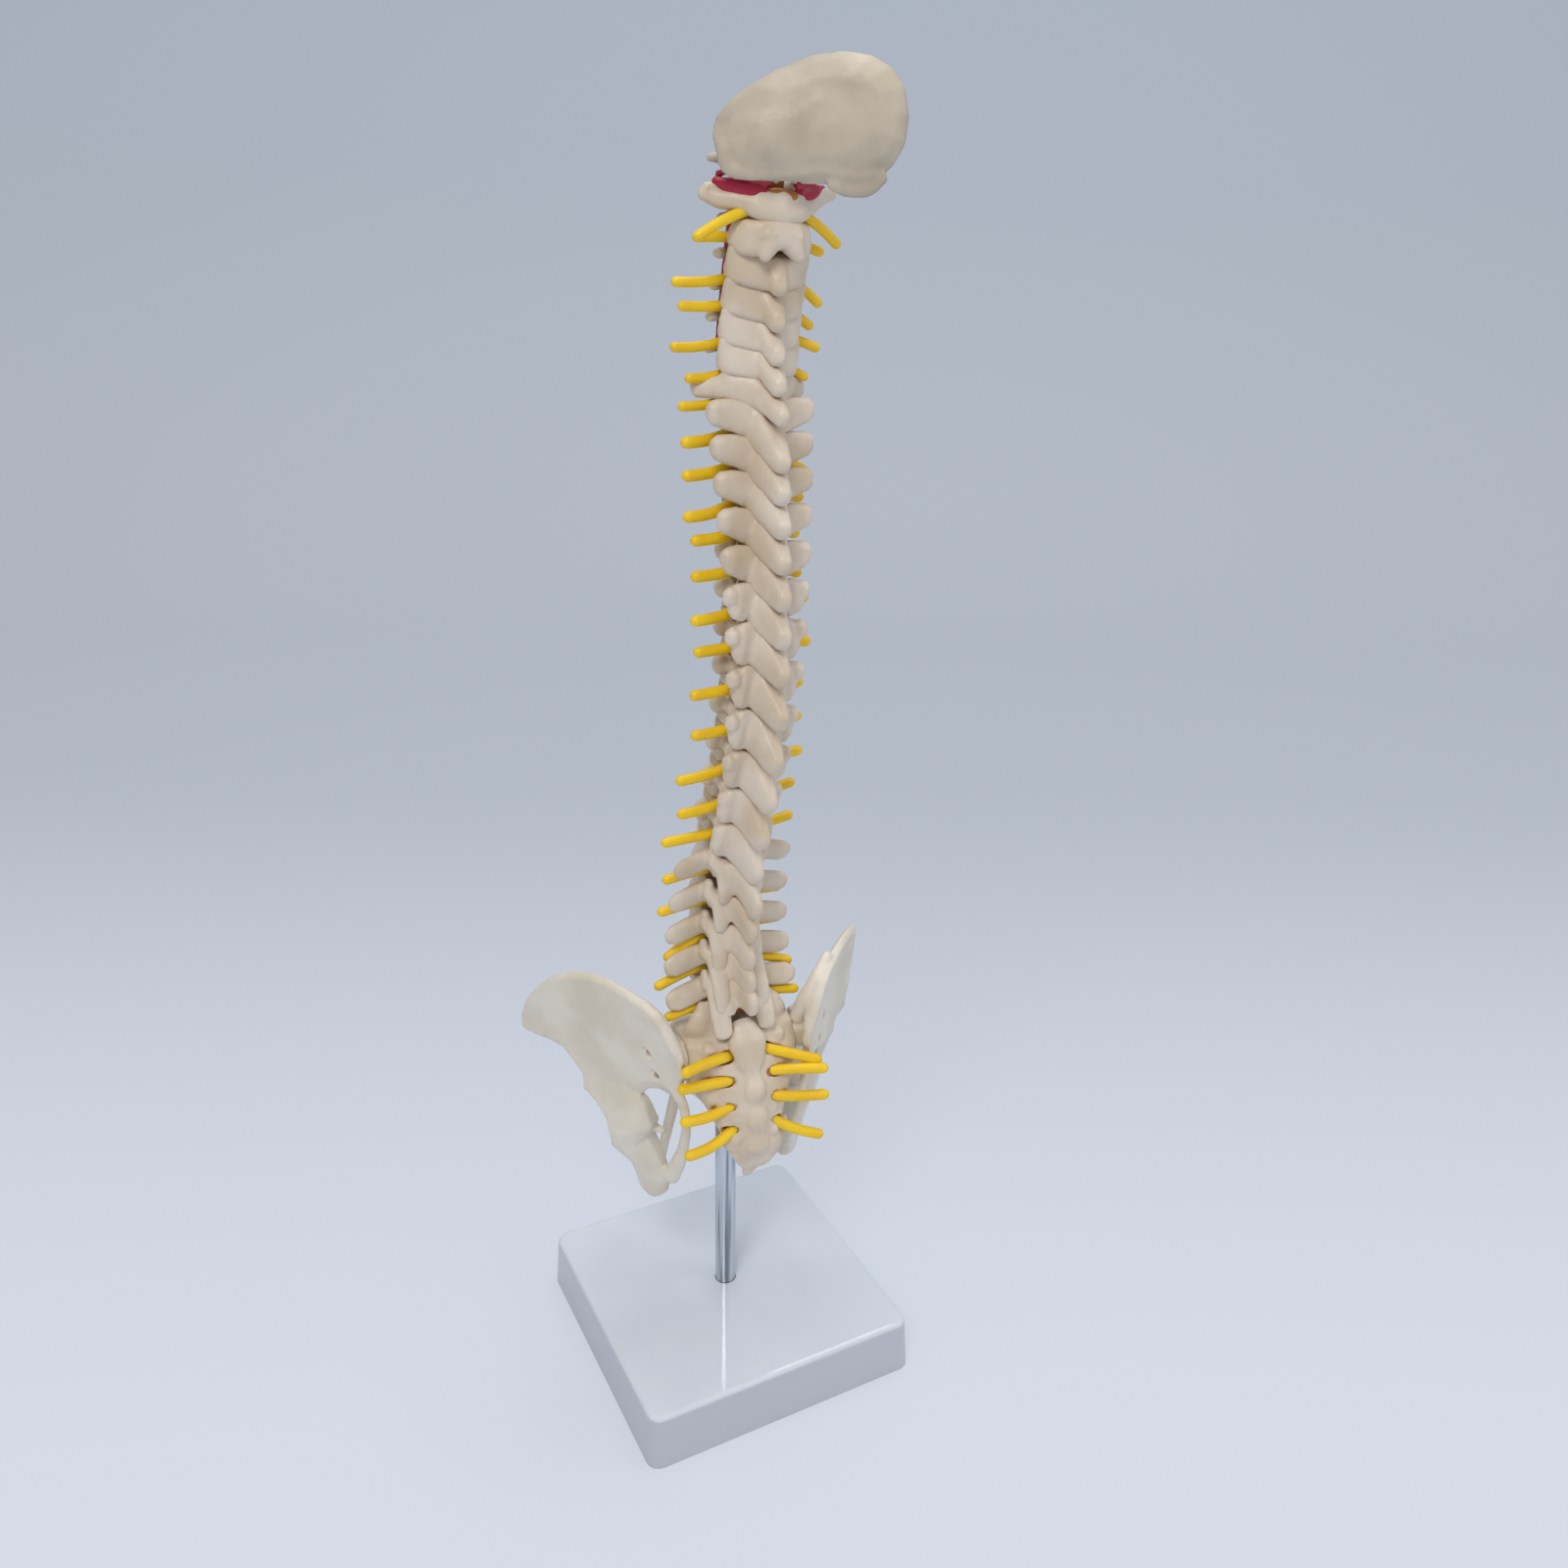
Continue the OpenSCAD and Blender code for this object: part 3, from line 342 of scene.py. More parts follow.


# Bright drawn steel: fine lines along the rod in its gloss, and broader darker stripes along it that are
# painted reflection
def steel_material(name, colour, rough):
    material, tree, shader = new_material(name)
    place = add_node(tree, "ShaderNodeTexCoord")
    stretch = add_node(tree, "ShaderNodeMapping")
    stretch.inputs["Scale"].default_value = (1.0, 1.0, 0.03)
    link(tree, place.outputs["Object"], stretch.inputs["Vector"])
    lines = noise(tree, stretch.outputs["Vector"], 2400.0, 2.0)
    # Painted reflection: broad stripes along the rod where its colour is darkened
    reflection_bands = reshape(tree, noise(tree, stretch.outputs["Vector"], 520.0, 1.0), 0.36, 0.6)
    roughen(tree, shader, lines, rough * 0.6, rough * 1.5)
    reflection_dark = tuple(0.45 * c for c in colour[:3]) + (1.0,)
    link(tree, mix_colour(tree, reflection_bands, reflection_dark, colour), shader.inputs["Base Color"])
    shader.inputs["Metallic"].default_value = 1.0
    return material


# Polished moulded base: hard gloss with faint waviness, its upright faces painted greyer than its top as
# painted shade
def base_material(name, colour, patch, wall_shade):
    material, tree, shader = new_material(name)
    patches, grain = mottle(tree, 18.0, 1600.0)
    place = add_node(tree, "ShaderNodeTexCoord")
    top = mix_colour(tree, reshape(tree, patches, 0.3, 0.7), colour, patch)
    # Painted shade: faces that turn away from up get the darker wall colour
    upward = reshape(tree, part_of(tree, place, "Normal", "Z"), 0.1, 0.8)
    link(tree, mix_colour(tree, upward, wall_shade, top), shader.inputs["Base Color"])
    roughen(tree, shader, grain, 0.05, 0.09)
    bump(tree, shader, patches, strength=0.05, distance=0.0006)
    shader.inputs["Coat Weight"].default_value = 0.35
    shader.inputs["Coat Roughness"].default_value = 0.05
    return material


# Mesh helpers
def loose_object(name, mesh):
    piece = bpy.data.objects.new(name, mesh)
    bpy.context.scene.collection.objects.link(piece)
    return piece


# A node's loose triangles joined to one closed mesh
def merged_copy(name, node):
    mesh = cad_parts[node].data.copy()
    mesh.name = name
    body = bmesh.new()
    body.from_mesh(mesh)
    bmesh.ops.remove_doubles(body, verts=body.verts, dist=0.002 * MM)
    body.to_mesh(mesh)
    body.free()
    mesh.materials.clear()
    return loose_object(name, mesh)


# Modifiers become the mesh itself
def settle(piece):
    depsgraph = bpy.context.evaluated_depsgraph_get()
    mesh = bpy.data.meshes.new_from_object(piece.evaluated_get(depsgraph))
    mesh.name = piece.name
    piece.modifiers.clear()
    old = piece.data
    piece.data = mesh
    bpy.data.meshes.remove(old)


# Sides of a limb, its rings between two stations, and the rings that round its two ends: how far each stands
# past the last station and how thick it is, as shares of the thickness there
LIMB_SIDES = 16
LIMB_STEPS = 4
LIMB_TAIL = ((0.75, 0.6),)
LIMB_TIP = ((0.55, 0.8), (0.92, 0.38))


# A point between b and c on the smooth curve through a, b, c and d
def curve_point(a, b, c, d, t):
    second = 2 * a - 5 * b + 4 * c - d
    third = 3 * b - a - 3 * c + d
    return 0.5 * (2 * b + (c - a) * t + second * t * t + third * t ** 3)


# A rounded limb through stations of (point, half width, half height), smoothed between them
def limb(body, frame_matrix, stations, up=(0, 0, 1), square=1.0):
    points = [Vector(s[0]) for s in stations]
    ends = [points[0] * 2 - points[1]] + points + [points[-1] * 2 - points[-2]]
    path = []
    for i in range(len(points) - 1):
        for step in range(LIMB_STEPS):
            t = step / LIMB_STEPS
            share = ease(t)
            halves = (stations[i][j] + (stations[i + 1][j] - stations[i][j]) * share for j in (1, 2))
            path.append((curve_point(*ends[i:i + 4], t), *halves))
    path.append((points[-1], stations[-1][1], stations[-1][2]))
    first, last = path[0], path[-1]
    tail = (first[0] - path[1][0]).normalized() * min(first[1], first[2])
    tip = (last[0] - path[-2][0]).normalized() * min(last[1], last[2])
    path = [(first[0] + tail * far, first[1] * thin, first[2] * thin) for far, thin in LIMB_TAIL] + path
    path += [(last[0] + tip * far, last[1] * thin, last[2] * thin) for far, thin in LIMB_TIP]
    before = None
    for i, (place, wide, tall) in enumerate(path):
        run = (path[min(i + 1, len(path) - 1)][0] - path[max(i - 1, 0)][0]).normalized()
        side = Vector(up).cross(run).normalized()
        turn = Matrix((side * wide, run.cross(side) * tall, run)).transposed().to_4x4()
        turn.translation = place
        capped = i in (0, len(path) - 1)
        ring = bmesh.ops.create_circle(body, cap_ends=capped, segments=LIMB_SIDES, radius=1.0)
        for vert in ring["verts"]:
            vert.co.x = math.copysign(abs(vert.co.x) ** square, vert.co.x)
            vert.co.y = math.copysign(abs(vert.co.y) ** square, vert.co.y)
        bmesh.ops.transform(body, matrix=frame_matrix @ turn, verts=ring["verts"])
        edges = list({edge for vert in ring["verts"] for edge in vert.link_edges})
        if before:
            bmesh.ops.bridge_loops(body, edges=before + edges)
        before = edges


def mirrored_limb(body, frame_matrix, stations, **options):
    limb(body, frame_matrix, stations, **options)
    limb(body, frame_matrix @ Matrix.Scale(-1, 4, (1, 0, 0)), stations, **options)


def in_millimetres(matrix):
    return Matrix.Scale(MM, 4) @ matrix


# Broad sheet of a neck vertebra, from its facet pillar round the back to its ridge, and its short spine
def neck_forms(body, place, v):
    wide = v.x + 2.4
    lean = (0, 0.24, 0.97)
    mirrored_limb(body, place, [
        ((-wide - 1.5, v.canal - 0.6, -1.1), 1.6, 4.3),
        ((-wide, v.canal - 3.6, -1.7), 2.2, 4.7),
        ((-0.55 * wide, v.lamina - 0.3, -2.2), 2.3, 4.9),
        ((-0.2 * wide, v.lamina - 1.9, -2.9), 2.2, 4.5),
        ((0.1 * wide, v.lamina - 2.2, -3.2), 1.8, 3.6),
    ], up=lean, square=0.62)
    limb(body, place, [
        (v.root + v.way * v.spine_l * 0.05, v.spine_w * 0.85, v.spine_h * 0.85),
        (v.root + v.way * v.spine_l * 0.5 + Vector((0, 0, -0.8)), v.spine_w * 0.66, v.spine_h * 0.66),
        (v.root + v.way * v.spine_l * 0.86 + Vector((0, 0, -1.6)), v.spine_w * 0.52, v.spine_h * 0.5),
    ], square=0.8)


# Shingle of a chest vertebra, from the knob of its transverse process down to the tip of its spine. Its outer
# end is a knob down to T4 and a broad leaf from T8 down.
def chest_forms(body, place, v):
    step, steps = v.k - FIRST_CHEST, len(CHEST) - 1
    share = step / steps
    leaf = ease((step - 3) / 4)
    half = v.spine_w / 2
    tall = v.spine_h / 2
    back = 3 + 3.4 * math.sin(math.pi * step / steps)
    side = v.canal - 2.2
    knob = v.x + (v.reach - v.x) * 0.8
    edge = knob * (1 - leaf) + (v.x + 1.9) * leaf
    middle = 0.5 * (edge + 0.66 * v.x)
    mirrored_limb(body, place, [
        ((-edge, side - back * (0.88 - 0.2 * leaf), v.z - 2.4 * leaf), 2.5 + 0.4 * leaf, 3.8 + 3.4 * leaf),
        ((-middle, side - back * 0.45 - 1.2, v.z - 0.9 - 1.8 * leaf), 2.6, 4.7 + 2.9 * leaf),
        ((-0.62 * v.x, v.lamina - 0.5, v.low + 0.1), 2.6, 5.2 + 2.3 * share),
        (v.root + v.way * v.spine_l * 0.28 + Vector((-2.1, 0, 0)), half * 0.95, tall * 1.42),
        (v.root + v.way * v.spine_l * 0.60 + Vector((-0.8, 0, 0)), half * 0.98, tall * 1.22),
        (v.root + v.way * v.spine_l * 0.88, half * 0.9, tall * 1.0),
    ], square=0.82)
    # Lobe at the side of the body that carries the rib
    mirrored_limb(body, place, [
        ((-0.36 * v.body_w, -0.05 * v.body_d, 0.22 * v.height), 2.6, 2.6 + 1.2 * share),
        ((-0.5 * v.body_w - 1.3 * share, -0.14 * v.body_d, 0.16 * v.height), 2.8, 2.7 + 1.9 * share),
    ])


# Facet lobes of the loin vertebrae from L1 down: how far each reaches down and back, and half its width
LOBE_DROP = (3.6, 2.0, 5.8, 9.6, 7.8)
LOBE_BACK = (2.8, 3.0, 4.1, 5.2, 1.6)
LOBE_WIDE = (3.0, 3.0, 3.1, 3.2, 3.9)


# Blades of a loin vertebra: facets from above the disc to below it, a deep spine and flat processes
def loin_forms(body, place, v):
    row = v.k - FIRST_LOIN
    drop = LOBE_DROP[row]
    foot = -v.height / 2 - 0.65 * v.disc_t - drop
    top = v.height / 2 + 0.16 * v.pitch
    low_y = v.lamina - LOBE_BACK[row]
    wide = LOBE_WIDE[row]
    lobe = 5.3 + 0.8 * row
    mirrored_limb(body, place, [
        ((-v.x - 1.4, v.canal - 2.5, top - 0.6), 1.5, 1.9),
        ((-v.x - 1.1, v.canal - 3.2, v.z + 1.4), 2.6, 2.9),
        ((-0.5 * (0.9 * v.x + lobe), v.lamina + 0.2, v.low + 0.6), wide, 2.4),
        ((-lobe, low_y + 0.5, foot + 4.6 + 0.3 * drop), wide, 1.9),
        ((-lobe, low_y + 0.2, foot + 1.2), wide - 0.4, 1.7),
    ], up=(0, 1, 0.01), square=0.85)
    half = v.spine_w / 2
    tall = v.spine_h / 2
    deep = 1 + 0.05 * drop
    mirrored_limb(body, place, [
        ((-0.7 * v.x, v.lamina, v.low + 0.4), 2.1, v.lamina_h * 0.44),
        (v.root + v.way * v.spine_l * 0.22 + Vector((-1.4, 0, -0.12 * drop)), half * 1.1, tall * 1.2 * deep),
        (v.root + v.way * v.spine_l * 0.6 + Vector((0, 0, -0.25 * drop)), half * 0.95, tall * 1.12 * deep),
        (v.root + v.way * v.spine_l * 0.9 + Vector((0, 0, -0.35 * drop)), half * 0.92, tall * 1.02 * deep),
    ], square=0.8)

    def out(part):
        return -(v.x + (v.reach - v.x) * part)

    mirrored_limb(body, place, [
        ((-v.x + 0.5, v.canal + 0.6, 0.1 * v.height + 0.9), 2.4, 4.2),
        ((out(0.4), v.canal + 0.2, 0.1 * v.height - 0.1), 1.9, 4.5),
        ((out(0.78), v.canal - 0.7, 0.1 * v.height - 1.1), 1.8, 4.3),
        ((out(0.97), v.canal - 0.9, 0.1 * v.height - 1.6), 1.3, 3.1),
    ], square=0.85)


# Axis: the broad saddle with its forked spine
def axis_forms(body, place, v):
    saddle = v.lamina - 1.0
    mirrored_limb(body, place, [
        ((-10.6, v.canal - 1.4, -2.0), 2.0, 4.2),
        ((-8.6, v.canal - 4.6, -3.0), 2.6, 4.9),
        ((-4.6, saddle - 1.2, -2.4), 2.9, 4.9),
        ((-1.0, saddle - 2.4, -1.2), 2.6, 4.0),
        ((1.0, saddle - 2.4, -1.2), 2.2, 3.6),
    ], up=(0, 0.3, 0.95), square=0.75)
    mirrored_limb(body, place, [
        ((-1.8, saddle - 1.4, -1.6), 3.0, 3.4),
        ((-3.9, saddle - 3.2, -4.4), 2.6, 2.8),
        ((-5.2, saddle - 4.2, -6.6), 1.9, 2.0),
    ])


# Atlas: the smooth crescent of its back arch
def atlas_forms(body, place, v):
    for side, tip in ((1, -2.0), (-1, 0.4)):
        limb(body, place @ Matrix.Scale(side, 4, (1, 0, 0)), [
            ((-20.0, -5.2, tip), 1.5, 1.7),
            ((-15.0, -7.0, tip - 0.9), 2.2, 2.5),
            ((-10.4, -10.0, -2.5), 2.0, 2.6),
            ((-5.8, -13.6, -3.9), 1.8, 2.8),
            ((0.0, -15.4, -4.5), 1.9, 2.9),
        ], up=(0, 0.25, 0.97), square=0.85)


# The arteries lie flat in the groove over the back arch of the atlas, and thicken beside the axis and C3
def artery_forms(body):
    mirrored_limb(body, in_millimetres(bone_frame(ATLAS)), [
        ((-16.8, -5.4, 1.2), 0.8, 1.4),
        ((-11.5, -9.8, 0.8), 1.0, 2.3),
        ((-6.6, -12.3, 0.2), 1.0, 2.4),
        ((-3.6, -13.2, -0.2), 0.8, 1.6),
    ])
    for k in (AXIS, THIRD):
        for side in (-1, 1):
            limb(body, in_millimetres(bone_frame(k)), [
                ((side * 9.0, -3.0, -3.4), 1.3, 1.3),
                ((side * 9.4, -3.0, 3.4), 1.3, 1.3),
            ], up=(0, 1, 0))


# The cord swells between the atlas and the skull plate
def cord_forms(body):
    limb(body, in_millimetres(bone_frame(ATLAS)), [
        ((-4.8, -12.6, -0.4), 1.4, 1.8),
        ((-1.6, -13.4, -0.4), 1.6, 2.4),
        ((1.8, -13.6, -0.5), 1.6, 2.3),
        ((5.2, -12.6, -0.5), 1.4, 1.7),
    ])


# Seventh neck vertebra: sloping shoulders and a long spine
def c7_forms(body, place, v):
    half = v.spine_w / 2
    tall = v.spine_h / 2
    mirrored_limb(body, place, [
        ((-17.2, -4.2, -2.6), 1.6, 2.3),
        ((-13.0, -6.4, -1.8), 2.1, 3.1),
        ((-9.0, v.canal - 3.0, -1.4), 2.4, 4.3),
        ((-4.6, v.lamina - 0.6, -2.0), 2.5, 4.6),
        (v.root + v.way * v.spine_l * 0.28 + Vector((-1.5, 0, -0.3)), half * 1.1, tall * 1.55),
        (v.root + v.way * v.spine_l * 0.62 + Vector((-0.4, 0, -0.4)), half * 1.0, tall * 1.3),
        (v.root + v.way * v.spine_l * 0.88 + Vector((0, 0, -0.4)), half * 0.95, tall * 1.1),
    ], square=0.85)


def vertebra_forms(body, k):
    place = in_millimetres(bone_frame(k))
    v = Level(k)
    if k == ATLAS:
        atlas_forms(body, place, v)
    elif k == AXIS:
        axis_forms(body, place, v)
    elif k < SEVENTH:
        neck_forms(body, place, v)
    elif k == SEVENTH:
        c7_forms(body, place, v)
    elif k < FIRST_LOIN:
        chest_forms(body, place, v)
    else:
        loin_forms(body, place, v)


# Sacrum: the knobbed crest between its two rows of holes, knobs beside the holes and the broad tail end
SACRUM_KNOBS = (
    (8.2, -17.8, 134.8, 2.6), (7.8, -21.0, 126.0, 2.4), (7.4, -23.4, 117.3, 2.3), (7.4, -24.6, 108.6, 2.4),
    (13.6, -14.6, 141.6, 3.2), (13.2, -17.0, 131.8, 2.9), (11.4, -20.4, 122.6, 2.6),
)


def sacrum_forms(body):
    place = in_millimetres(Matrix.Identity(4))
    limb(body, place, [
        ((0, -14.5, 148.5), 5.4, 3.4),
        ((0, -18.2, 144.0), 7.4, 3.8),
        ((0, -20.2, 138.0), 6.2, 3.5),
        ((0, -22.0, 132.6), 3.4, 2.8),
        ((0, -24.4, 127.4), 4.4, 3.6),
        ((0, -24.8, 122.0), 3.4, 2.7),
        ((0, -26.8, 116.8), 4.4, 3.5),
        ((0, -26.8, 111.0), 3.6, 2.6),
        ((0, -27.4, 105.0), 5.0, 3.4),
    ], up=(0, 1, 0))
    for x, y, z, size in SACRUM_KNOBS:
        mirrored_limb(body, place, [
            ((-x, y + 0.6, z + 0.6), size, size),
            ((-x, y, z - 0.6), size, size),
        ], up=(0, 1, 0))
    limb(body, place, [
        ((-9.0, -22.2, 106.5), 2.8, 3.6),
        ((-1.5, -25.0, 102.4), 3.2, 4.6),
        ((7.5, -23.6, 102.6), 3.2, 5.0),
        ((12.5, -20.8, 103.6), 2.6, 4.2),
        ((14.6, -18.8, 106.5), 2.0, 3.2),
    ])
    limb(body, place, [
        ((-4.0, -22.8, 98.6), 2.6, 3.0),
        ((3.0, -23.6, 96.4), 3.0, 3.8),
        ((10.0, -21.6, 98.8), 2.8, 3.8),
    ])
    mirrored_limb(body, in_millimetres(disc_frame(LAST)), [
        ((-15.5, -6.0, -9.5), 6.0, 3.6),
        ((-14.4, -10.6, -5.4), 5.8, 3.2),
        ((-13.4, -12.6, -1.0), 4.4, 2.8),
        ((-12.6, -12.6, 2.6), 2.2, 1.9),
    ], up=(0, 1, 0))


# Skull plate: its middle, the way it faces and its right
PLATE_CENTRE = Vector((8, -38, 438.4))
PLATE_OUT = Vector((-0.3, -0.93, 0.2)).normalized()
PLATE_RIGHT = Vector((0, 0, 1)).cross(PLATE_OUT).normalized()
# Its lower edge is pressed straight: the lowest place, what is left below that, and where the edge lies
EDGE_LOWEST = -14.2
EDGE_LEFT_OVER = 0.2
EDGE_HALF = 17
EDGE_INSIDE = -8.5
# Both of its lower corners are filled out, and a low ridge crosses it between them
PLATE_LIMBS = (
    (((-22.0, -3.0, -3.4), 2.4, 1.1), ((-22.6, -6.5, -3.6), 3.2, 1.2), ((-22.2, -10.6, -4.2), 3.2, 1.2),
     ((-17.5, -12.2, -3.4), 2.8, 1.2), ((-10.0, -12.4, -2.2), 2.4, 1.1)),
    (((-6.0, -12.6, -1.4), 1.4, 0.8), ((3.0, -12.0, -0.7), 1.4, 0.8), ((11.0, -13.2, -1.9), 1.3, 0.8),
     ((17.0, -12.4, -2.9), 1.2, 0.7)),
    (((4.5, -14.6, -2.4), 2.2, 1.1), ((9.0, -15.6, -3.0), 2.9, 1.2), ((14.5, -15.2, -3.6), 3.0, 1.2),
     ((19.0, -12.0, -4.2), 2.6, 1.2)),
)


def plate_place():
    turn = Matrix((PLATE_RIGHT, PLATE_OUT.cross(PLATE_RIGHT), PLATE_OUT)).transposed().to_4x4()
    turn.translation = PLATE_CENTRE
    return turn


def skull_forms(body):
    place = plate_place()
    inverse = place.inverted()
    for vert in body.verts:
        spot = inverse @ (vert.co / MM)
        if spot.z > EDGE_INSIDE and abs(spot.x) < EDGE_HALF and spot.y < EDGE_LOWEST:
            spot.y = EDGE_LOWEST + (spot.y - EDGE_LOWEST) * EDGE_LEFT_OVER
            vert.co = place @ spot * MM
    for stations in PLATE_LIMBS:
        limb(body, in_millimetres(place), stations)


# Blade of a hip bone: its lower back corner on the right side, and on the left side the way along it, the way
# out of it and how far it leans out, as in the solids' source
BLADE_ROOT = (22, -18, 112)
BLADE_ALONG = Vector((-0.516, 0.857, 0))
BLADE_OUT = Vector((-0.857, -0.516, 0))
BLADE_LEAN = 0.165


def wing(u, z, out=0.0):
    x, y, foot = BLADE_ROOT
    return Vector((-x, y, z)) + BLADE_ALONG * u + BLADE_OUT * (BLADE_LEAN * (z - foot) + out)


# Strut behind the hole of the hip bone
def hip_forms(body, side=-1):
    place = in_millimetres(Matrix.Scale(-side, 4, (1, 0, 0)))
    limb(body, place, [
        (wing(5.0, 131), 2.6, 1.7),
        (wing(2.0, 123), 2.1, 1.6),
        (wing(2.2, 113), 1.9, 1.5),
        (wing(5.0, 102), 2.2, 1.7),
        (wing(8.8, 92), 3.0, 2.4),
        (wing(13.0, 84), 3.6, 2.8),
    ], up=(-0.857, -0.516, 0.01))


# The right blade stands more open than the left one's mirror image: its turn about the back edge in degrees,
# the heights over which the turn grows, how much lower it gets, the way out of it and how much of its lean it
# loses, and the reach from which its front end is drawn in, by at most the room that is left
RIGHT_TURN = 19
RIGHT_FROM = 106
RIGHT_OVER = 24
RIGHT_LOWER = 0.05
RIGHT_OUT = Vector((0.641, -0.767, 0))
RIGHT_UPRIGHT = 0.09
RIGHT_REACH = 54
RIGHT_ROOM = 9.5


def right_hip_forms(body):
    hip_forms(body, 1)
    pivot = Vector(BLADE_ROOT) * MM
    for vert in body.verts:
        share = ease((vert.co.z / MM - RIGHT_FROM) / RIGHT_OVER)
        spot = vert.co - pivot
        spot.rotate(Matrix.Rotation(math.radians(-RIGHT_TURN * share), 3, "Z"))
        spot.z *= 1 - RIGHT_LOWER * share
        vert.co = pivot + spot
        vert.co -= RIGHT_OUT * RIGHT_UPRIGHT * max(0, vert.co.z - BLADE_ROOT[2] * MM) * share
        over = vert.co.x / MM - RIGHT_REACH
        if over > 0:
            vert.co.x = (RIGHT_REACH + RIGHT_ROOM * (1 - math.exp(-over / RIGHT_ROOM))) * MM
    limb(body, in_millimetres(Matrix.Identity(4)), [
        ((25.5, -9.5, 143), 5.0, 3.6),
        ((28, -11.8, 151), 5.5, 3.8),
        ((31.5, -12.6, 158), 5.0, 3.3),
        ((37, -9.6, 165), 3.6, 2.2),
    ], up=(0.641, -0.767, 0.01))


# A node's copy with its forms added, under one smooth skin.
def rounded_shell(name, node, grain, rounds, swell=0.0, forms=None):
    piece = merged_copy(name, node)
    if forms:
        body = bmesh.new()
        body.from_mesh(piece.data)
        forms(body)
        body.to_mesh(piece.data)
        body.free()
    skin = piece.modifiers.new("Skin", "REMESH")
    skin.mode = "VOXEL"
    skin.voxel_size = grain * 1.0
    skin.use_smooth_shade = True
    smooth = piece.modifiers.new("Smooth", "SMOOTH")
    smooth.factor = 0.5
    smooth.iterations = rounds
    if swell:
        fill = piece.modifiers.new("Fill", "DISPLACE")
        fill.strength = swell
        fill.mid_level = 0.0
    settle(piece)
    piece.data.shade_smooth()
    return piece


# Radius and depth of the pits round the roots of the sacral nerves, and of the three pits side by side that
# make each slot in the left hip bone, with the slots' places on its blade and how far out of it they lie
PIT = (4.4, 1.5)
SLOT = (2.0, 1.8)
SLOT_PLACES = ((14.2, 143.5), (11.9, 134.2))
SLOT_OUT = 2.2


def dimples():
    pits = []
    for height, depth, out in SACRAL_ROOTS:
        pits += [(Vector((side * out, depth, height)), *PIT) for side in (-1, 1)]
    for u, z in SLOT_PLACES:
        pits += [(wing(u + shift, z + 1.4 * shift, SLOT_OUT), *SLOT) for shift in (-0.8, 0.0, 0.8)]
    return pits


def press_dimples(piece):
    for point, radius, depth in dimples():
        for vert in piece.data.vertices:
            away = (vert.co / MM - point).length
            if away < radius:
                vert.co = vert.co - vert.normal * depth * MM * ease(1 - away / radius)


def finish_piece(piece, material, slot, *nodes):
    piece.data.materials.clear()
    piece.data.materials.append(material)
    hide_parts(*nodes)
    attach(piece, ROOT)
    return piece


def dress_node(node, material):
    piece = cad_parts[node]
    if not piece.material_slots:
        piece.data.materials.append(material)
    for slot in piece.material_slots:
        slot.material = material


# A nerve of the sacrum, from its root along its way, with its sag in the middle
def sacral_stations(side, root, turn, slope, sag):
    turn, slope = math.radians(turn), math.radians(slope)
    flat = math.cos(slope)
    way = Vector((side * math.cos(turn) * flat, -math.sin(turn) * flat, -math.sin(slope)))
    stations = []
    for share in (-0.05, 0.12, 0.35, 0.6, 0.82, 1):
        hang = Vector((0, 0, sag * math.sin(math.pi * max(0, share))))
        stations.append((root + way * SACRAL_LENGTH * share - hang, SACRAL_RADIUS, SACRAL_RADIUS))
    return stations


# A nerve of the column. At the left of C3 to T12 it falls at its root, and elsewhere towards its tip.
def nerve_stations(k, side, reach, drop, radius):
    depth, height = ATLAS_NERVE
    if k > ATLAS:
        depth = -BEHIND * along("body_d", k) - radius - 0.5
        height = along("nerve_up", k) * along("pitch", k)
    late = k < THIRD or k >= FIRST_LOIN or side > 0
    stations = []
    for share in (0, 0.3, 0.55, 0.8, 1):
        out = NERVE_ROOT + (reach - radius - NERVE_ROOT) * share
        fall = drop * (0.35 * share + 0.65 * share ** 2 if late else 1 - (1 - share) ** 2.4)
        stations.append(((side * out, depth - 0.4 * share, height - fall), radius, radius))
    return stations


def make_nerves(neck_thick, thick):
    body = bmesh.new()
    for (height, depth, out), left, right in zip(SACRAL_ROOTS, SACRAL_LEFT, SACRAL_RIGHT):
        for side, bend in ((-1, left), (1, right)):
            stations = sacral_stations(side, Vector((side * out, depth, height)), *bend)
            limb(body, in_millimetres(Matrix.Identity(4)), stations)
    for k in range(LAST + 1):
        radius = (neck_thick if k < FIRST_CHEST else thick) / 2 / MM
        place = bone_frame(ATLAS) if k == ATLAS else disc_frame(k)
        for side, (reach, drop) in ((-1, LEFT_TIPS[k]), (1, RIGHT_TIPS[k])):
            limb(body, in_millimetres(place), nerve_stations(k, side, reach, drop, radius))
    bmesh.ops.recalc_face_normals(body, faces=body.faces)
    mesh = bpy.data.meshes.new("nerves")
    body.to_mesh(mesh)
    body.free()
    mesh.shade_smooth()
    return loose_object("nerves", mesh)


# One value of all points, edges or triangles of a mesh, in rows
def values_of(items, name, width, kind=np.float64):
    values = np.empty(len(items) * width, dtype=kind)
    items.foreach_get(name, values)
    return values.reshape(-1, width)


# All pieces in one tree that rays can hit
def tree_of(pieces):
    points = []
    faces = []
    start = 0
    for piece in pieces:
        mesh = piece.data
        mesh.calc_loop_triangles()
        points.append(values_of(mesh.vertices, "co", 3, np.float32))
        faces.append(values_of(mesh.loop_triangles, "vertices", 3, np.int32) + start)
        start += len(mesh.vertices)
    points = np.concatenate(points).tolist()
    faces = np.concatenate(faces).tolist()
    return BVHTree.FromPolygons(points, faces, all_triangles=True)


# Painted shade in the hollows: how far its rays reach, start above the skin and lean outwards, the rounds that
# blur it, and how strong the painted shade in the pits is and how wide the pits are
RAY_REACH = 9 * MM
RAY_LIFT = 0.25 * MM
RAY_LEAN = 1.05
BLUR_ROUNDS = 4
PIT_SHADE = 1.25
PIT_WIDE = 1.1
